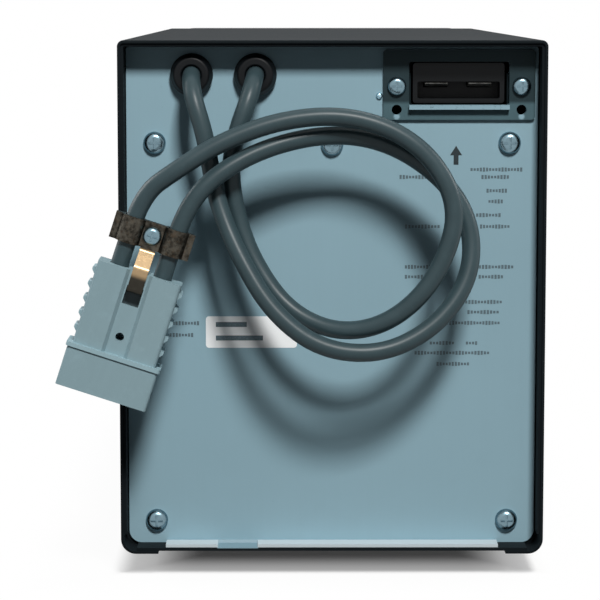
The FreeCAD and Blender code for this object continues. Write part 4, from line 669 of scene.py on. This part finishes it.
class PACK_OT_leads(bpy.types.Operator):
    """The two free leads, from their bushings round the loop to the plug"""

    bl_idname = "battery_pack.leads"
    bl_label = "Free leads"

    # Side, route, side of its chamber in the plug, length, and the pieces that it carries.
    leads = (
        ("left", LEFT_ROUTE, 1, 0.392,
         ("plug_housing", "plug_contact_right", "clamp_front", "clamp_screw")),
        ("right", RIGHT_ROUTE, -1, 0.383, ("plug_contact_left", "clamp_rear", "clamp_nut")),
    )

    def execute(self, context):
        sizes, colours = context.scene.pack_leads, context.scene.pack_colours
        jacket = lead_jacket("Lead jacket", tuple(colours.lead))
        for side, route, pole, length, carried in self.leads:
            start = bushing_exit(side)
            ends = [plug_place() @ Vector((pole * POLE_PITCH / 2 + lean, 0.0, back))
                    for back, lean in PLUG_CORNERS]
            points = [start + Vector(corner) for corner in route] + ends
            line = bpy.data.curves.new(f"free_lead_{side}", "CURVE")
            line.dimensions = "3D"
            spline = line.splines.new("NURBS")
            spline.points.add(len(points) - 1)
            for control, point in zip(spline.points, points):
                control.co = (*point, 1.0)
            spline.order_u = 3
            spline.use_endpoint_u = True
            spline.resolution_u = 8
            line.resolution_u = line.render_resolution_u = 8
            line.bevel_depth = sizes.diameter / 2
            line.bevel_resolution = sizes.rings
            line.use_fill_caps = True
            line.materials.append(jacket)
            piece = bpy.data.objects.new(f"free_lead_{side}", line)
            context.scene.collection.objects.link(piece)
            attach(piece, BODY)
            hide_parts(f"lead_{side}")
        inner = lead_jacket("Inner lead jacket", shade(tuple(colours.lead), 0.5))
        dress(inner, "lead_tail_left", "lead_tail_right", "battery_lead_left", "battery_lead_right",
              "socket_lead_left", "socket_lead_right")
        return {"FINISHED"}


class PACK_OT_casing(bpy.types.Operator):
    """Powder coat of the casing, the bezel's plastic and the feet"""

    bl_idname = "battery_pack.casing"
    bl_label = "Casing"

    def execute(self, context):
        colours = context.scene.pack_colours
        dress(powder_coat("Cover paint", tuple(colours.cover)), "cover")
        dress(tray_paint("Chassis paint", tuple(colours.cover), tuple(colours.panel)), "chassis")
        bezel = shade(tuple(colours.cover), 1.3)
        dress(moulded("Bezel plastic", bezel, 0.42, 0.0009, 0.0001), "front_bezel")
        dress(rubber("Foot rubber", (0.02, 0.021, 0.022)),
              *[f"foot_{end}_{side}" for end in ("rear", "front") for side in ("left", "right")])
        return {"FINISHED"}


class PACK_OT_panel(bpy.types.Operator):
    """Rear panel, its screws and its bushings"""

    bl_idname = "battery_pack.panel"
    bl_label = "Rear panel"

    def execute(self, context):
        colours = context.scene.pack_colours
        dress(coated_sheet("Panel sheet", tuple(colours.panel)), "rear_panel")
        dress(plated("Screw zinc", tuple(colours.zinc)),
              "rear_panel_screws", "cover_screws", "battery_door_screws", "top_flange_screws",
              "socket_bracket_screws", "socket_lock_screw", "clamp_screw", "clamp_nut")
        # The pin's zinc is 2.2 times brighter than the screws': a painted glint.
        dress(plated("Pin zinc with painted glint", shade(tuple(colours.zinc), 2.2)), "bracket_pin")
        dress(moulded("Bushing nylon", tuple(colours.bushing), 0.38, 0.0005, 0.00004),
              "bushing_left", "bushing_right", "bushing_nuts")
        return {"FINISHED"}


class PACK_OT_connectors(bpy.types.Operator):
    """Plug, socket, their contacts, the socket's bracket and the lead clamp"""

    bl_idname = "battery_pack.connectors"
    bl_label = "Plug and socket"

    def execute(self, context):
        colours = context.scene.pack_colours
        dress(plug_plastic("Plug plastic", tuple(colours.plug)), "plug_housing")
        dress(moulded("Socket plastic", tuple(colours.socket), 0.4, 0.0005, 0.00005),
              "socket_housing")
        dress(coated_bracket("Bracket paint", tuple(colours.bracket), tuple(colours.panel)),
              "socket_bracket")
        dress(powder_coat("Cradle paint", shade(tuple(colours.bracket), 0.1)), "socket_cradle")
        dress(clamp_steel("Clamp steel", tuple(colours.clamp), tuple(colours.tongue)),
              "clamp_front", "clamp_rear")
        dress(cast_metal("Contact silver", (0.17, 0.17, 0.16), 0.45),
              "plug_contact_left", "plug_contact_right", "socket_contact_left", "socket_contact_right")
        return {"FINISHED"}


class PACK_OT_inside(bpy.types.Operator):
    """Batteries, links, fuse, pads and the brackets inside the casing"""

    bl_idname = "battery_pack.inside"
    bl_label = "Inside"

    def execute(self, context):
        dress(battery_case("Battery plastic", (0.045, 0.05, 0.055)),
              *[f"battery_{end}_{side}" for end in ("rear", "front") for side in ("left", "right")])
        dress(cast_metal("Battery lead metal", (0.45, 0.46, 0.47), 0.5),
              "battery_tabs_left", "battery_tabs_right")
        dress(cast_metal("Link brass", (0.75, 0.56, 0.27), 0.35),
              "series_link_left", "series_link_right", "fuse_blade", "junction_terminals")
        dress(plated("Link bolt zinc", (0.62, 0.66, 0.68), 0.32), "link_bolts")
        dress(ceramic("Fuse ceramic", (0.70, 0.66, 0.56)), "fuse_body")
        dress(moulded("Junction nylon", (0.03, 0.03, 0.032)), "junction_block")
        dress(galvanised("Galvanised sheet", (0.55, 0.58, 0.60)),
              "battery_door", "battery_stop", "junction_shelf", "hold_down_rear", "hold_down_front")
        dress(foam("Pad foam", (0.05, 0.052, 0.056)),
              "base_pad", "side_pads", "front_pad", "module_divider")
        return {"FINISHED"}


class PACK_OT_print(bpy.types.Operator):
    """Blank label, printed rows and arrow on the rear panel"""

    bl_idname = "battery_pack.print"
    bl_label = "Label and print"

    def execute(self, context):
        colours, sizes = context.scene.pack_colours, context.scene.pack_print
        ink_finish = ink("Print ink", tuple(colours.print_ink))
        face = PANEL_Y - sizes.ink
        middle, height = LABEL_MIDDLE
        left = middle - sizes.label_width / 2
        top = PANEL_Y - sizes.label_sheet

        def label(shape):
            slab(shape, (left, top, height - sizes.label_height / 2),
                 (left + sizes.label_width, PANEL_Y, height + sizes.label_height / 2))
            upright = [edge for edge in shape.edges
                       if abs((edge.verts[0].co - edge.verts[1].co).normalized().y) > 0.9]
            bmesh.ops.bevel(shape, geom=upright, offset=LABEL_CORNER, offset_type="OFFSET",
                            affect="EDGES", segments=4, profile=0.5, material=-1)

        finished("label_blank", label, paper("Label paper", tuple(colours.label)))

        def label_rows(shape):
            for rise, start, end in LABEL_ROWS:
                slab(shape, (left + start, top - sizes.ink, height + rise - LABEL_ROW_HALF),
                     (left + end, top, height + rise + LABEL_ROW_HALF))

        finished("label_rows", label_rows, ink_finish)

        def printed_rows(shape):
            half = sizes.row_height * 0.45
            for rise, spans in PANEL_ROWS:
                z = CASING_LOW.z + rise
                for start, end in spans:
                    marks = max(2, round((end - start) / sizes.mark_pitch))
                    pitch = (end - start) / marks
                    for mark in range(marks):
                        x = start + mark * pitch
                        # Marks differ a little in height, as letters do.
                        trim = 0.12 * sizes.row_height * math.sin(7.3 * mark + 900.0 * rise)
                        slab(shape, (x, face, z - half + trim),
                             (x + pitch * 0.72, PANEL_Y, z + half - trim))

        finished("printed_rows", printed_rows, ink_finish)

        def arrow(shape):
            x, z = ARROW_TIP
            drop = sizes.arrow_height
            shaft = drop * 0.13
            slab(shape, (x - shaft, face, z - drop), (x + shaft, PANEL_Y, z - drop * 0.5))
            outline = [(-0.32, -0.5), (0.32, -0.5), (0.0, 0.0)]
            corners = [shape.verts.new((x + across * drop, PANEL_Y, z + up * drop))
                       for across, up in outline]
            head = shape.faces.new(corners)
            swept = bmesh.ops.extrude_face_region(shape, geom=[head])
            raised = [part for part in swept["geom"] if isinstance(part, bmesh.types.BMVert)]
            bmesh.ops.translate(shape, verts=raised, vec=(0.0, -sizes.ink, 0.0))

        arrow_finish = ink("Arrow ink", tuple(colours.arrow_ink))
        finished("printed_arrow", arrow, arrow_finish)
        return {"FINISHED"}


# ---- studio ---------------------------------------------------------------------------------
def lamp(context, name, place, target, size, power, tint=(1.0, 1.0, 1.0)):
    """Adds a square soft lamp that faces its target."""
    light = bpy.data.lights.new(name, "AREA")
    light.shape = "RECTANGLE"
    light.size = light.size_y = size
    light.energy = power
    light.color = tint
    rig = bpy.data.objects.new(name, light)
    rig.location = place
    rig.rotation_euler = (target - place).to_track_quat("-Z", "Y").to_euler()
    context.scene.collection.objects.link(rig)


def seen_ray(tree):
    """1 for a ray from the camera, or one that a glossy or clear surface passes on."""
    path = tree.nodes.new("ShaderNodeLightPath")
    total = path.outputs["Is Camera Ray"]
    for kind in ("Is Glossy Ray", "Is Transmission Ray"):
        added = tree.nodes.new("ShaderNodeMath")
        added.operation = "MAXIMUM"
        tree.links.new(total, added.inputs[0])
        tree.links.new(path.outputs[kind], added.inputs[1])
        total = added.outputs[0]
    return total


def mixed_shader(tree, factor, first, second):
    """Joins two shaders: the first where the factor is 0, the second where it is 1."""
    mixed = tree.nodes.new("ShaderNodeMixShader")
    for socket, source in zip(mixed.inputs, (factor, first, second)):
        tree.links.new(source, socket)
    return mixed.outputs[0]


class PACK_OT_studio(bpy.types.Operator):
    """Pale floor, soft lamps, room light and the camera"""

    bl_idname = "battery_pack.studio"
    bl_label = "Studio"

    def execute(self, context):
        scene = context.scene
        floor_mesh = bpy.data.meshes.new("studio_floor")
        shape = bmesh.new()
        bmesh.ops.create_grid(shape, x_segments=1, y_segments=1, size=30.0)
        shape.to_mesh(floor_mesh)
        shape.free()
        floor = bpy.data.objects.new("studio_floor", floor_mesh)
        scene.collection.objects.link(floor)
        floor_mesh.materials.append(self.floor_finish(tuple(scene.pack_colours.floor)))
        self.room(scene)
        self.lamps(context)
        self.camera(scene)
        scene.view_settings.view_transform = "Standard"
        return {"FINISHED"}

    def room(self, scene):
        """Dim room light, which the camera and gloss see as white."""
        world = bpy.data.worlds.new("Studio room")
        world.use_nodes = True
        scene.world = world
        tree = world.node_tree
        background = tree.nodes["Background"]
        background.inputs["Color"].default_value = (0.94, 0.97, 1.0, 1.0)
        background.inputs["Strength"].default_value = scene.pack_studio.ambient
        seen = tree.nodes.new("ShaderNodeBackground")
        seen.inputs["Color"].default_value = WHITE
        mixed = mixed_shader(tree, seen_ray(tree), background.outputs[0], seen.outputs[0])
        tree.links.new(mixed, tree.nodes["World Output"].inputs["Surface"])

    def lamps(self, context):
        """The key lamp and its fill behind the pack, and weaker lamps for the other sides."""
        studio = context.scene.pack_studio
        rear = Vector((0.0, CASING_LOW.y, AIM_HEIGHT))
        front = Vector((0.0, CASING_HIGH.y, AIM_HEIGHT))
        lamp(context, "Key lamp", rear + Vector((0.36, -1.82, 1.86)), rear, 0.46, studio.key,
             (1.0, 0.99, 0.97))
        lamp(context, "Fill lamp", rear + Vector((-0.7, -1.5, 0.4)), rear, 1.2, studio.fill,
             (0.93, 0.97, 1.0))
        lamp(context, "Front lamp", front + Vector((0.6, 1.0, 1.7)), front, 0.8, studio.back)
        for name, side in (("Left lamp", -1.5), ("Right lamp", 1.5)):
            lamp(context, name, front + Vector((side, 0.2, 0.9)), front / 2, 0.8, studio.back)
        lamp(context, "Top lamp", Vector((0.0, 0.1, 1.7)), Vector((0.0, 0.0, 0.1)), 1.4,
             studio.fill * 2.0)

    def camera(self, scene):
        """Stands the camera behind the pack."""
        studio = scene.pack_studio
        camera = bpy.data.cameras.new("Rear view")
        camera.sensor_width = 36.0
        camera.lens = studio.lens
        viewer = bpy.data.objects.new("Rear view", camera)
        viewer.location = CAMERA_PLACE
        viewer.rotation_euler = (math.radians(90.0) - studio.tilt, 0.0, CAMERA_TURN)
        scene.collection.objects.link(viewer)
        scene.camera = viewer

    def floor_finish(self, base):
        """Pale floor with the pack's shadow; for camera and gloss a painted glow lightens the shadow
        from under the casing's edges and turns the floor white further out.
        """
        finish = Finish("Studio floor", base, 0.7, specular_ior_level=0.1)
        point = finish.place()
        cloud = finish.noise(point, 0.4, 3.0)
        finish.feed("Base Color", finish.blend(cloud, shade(base, 0.99), shade(base, 1.01)))
        aside = finish.axis(point, "X").size() - CASING_HIGH.x - SHADOW_ASIDE
        beyond = finish.axis(point, "Y").size() + CASING_LOW.y
        edge = aside.most(beyond)
        # Painted light: a glow seen by camera and gloss, which lightens the shadow under the casing
        # towards its edges and wipes it out beside and beyond it.
        under = edge.ramp(-0.045, -0.014, 0.045, 0.36)
        outside = edge.ramp(-0.017, -0.006, 0.0, 0.6) + edge.ramp(-0.006, 0.04, 0.0, 0.04)
        tree = finish.tree
        glow = tree.nodes.new("ShaderNodeEmission")
        glow.inputs["Color"].default_value = WHITE
        dim = tree.nodes.new("ShaderNodeBsdfDiffuse")
        dim.inputs["Color"].default_value = (*shade(base, 0.1), 1.0)
        faded = mixed_shader(tree, (under + outside).socket, finish.shader.outputs[0], glow.outputs[0])
        mixed = mixed_shader(tree, seen_ray(tree), dim.outputs[0], faded)
        tree.links.new(mixed, tree.nodes["Material Output"].inputs["Surface"])
        return finish.material


class PACK_PT_looks(bpy.types.Panel):
    """Lists the pack's pieces and their settings"""

    bl_idname = "PACK_PT_looks"
    bl_label = "Battery Pack"
    bl_space_type = "VIEW_3D"
    bl_region_type = "UI"
    bl_category = "Battery Pack"

    def draw(self, context):
        column = self.layout.column()
        for operator in OPERATORS:
            column.operator(operator.bl_idname)
        for group in SETTINGS:
            settings = getattr(context.scene, group)
            box = self.layout.box()
            for name in settings.bl_rna.properties.keys():
                if name not in ("rna_type", "name"):
                    box.prop(settings, name)


SETTINGS = {
    "pack_colours": PackColours,
    "pack_print": PrintSizes,
    "pack_leads": LeadSizes,
    "pack_studio": StudioSettings,
}
OPERATORS = (
    PACK_OT_leads, PACK_OT_casing, PACK_OT_panel, PACK_OT_connectors, PACK_OT_inside, PACK_OT_print,
    PACK_OT_studio,
)


def register():
    for group in (*SETTINGS.values(), *OPERATORS, PACK_PT_looks):
        bpy.utils.register_class(group)
    for name, group in SETTINGS.items():
        setattr(bpy.types.Scene, name, PointerProperty(type=group))


def unregister():
    for name in SETTINGS:
        delattr(bpy.types.Scene, name)
    for group in (PACK_PT_looks, *reversed(OPERATORS), *SETTINGS.values()):
        bpy.utils.unregister_class(group)


def main():
    register()
    for operator in OPERATORS:
        getattr(bpy.ops.battery_pack, operator.bl_idname.split(".")[1])()


if __name__ == "__main__":
    main()
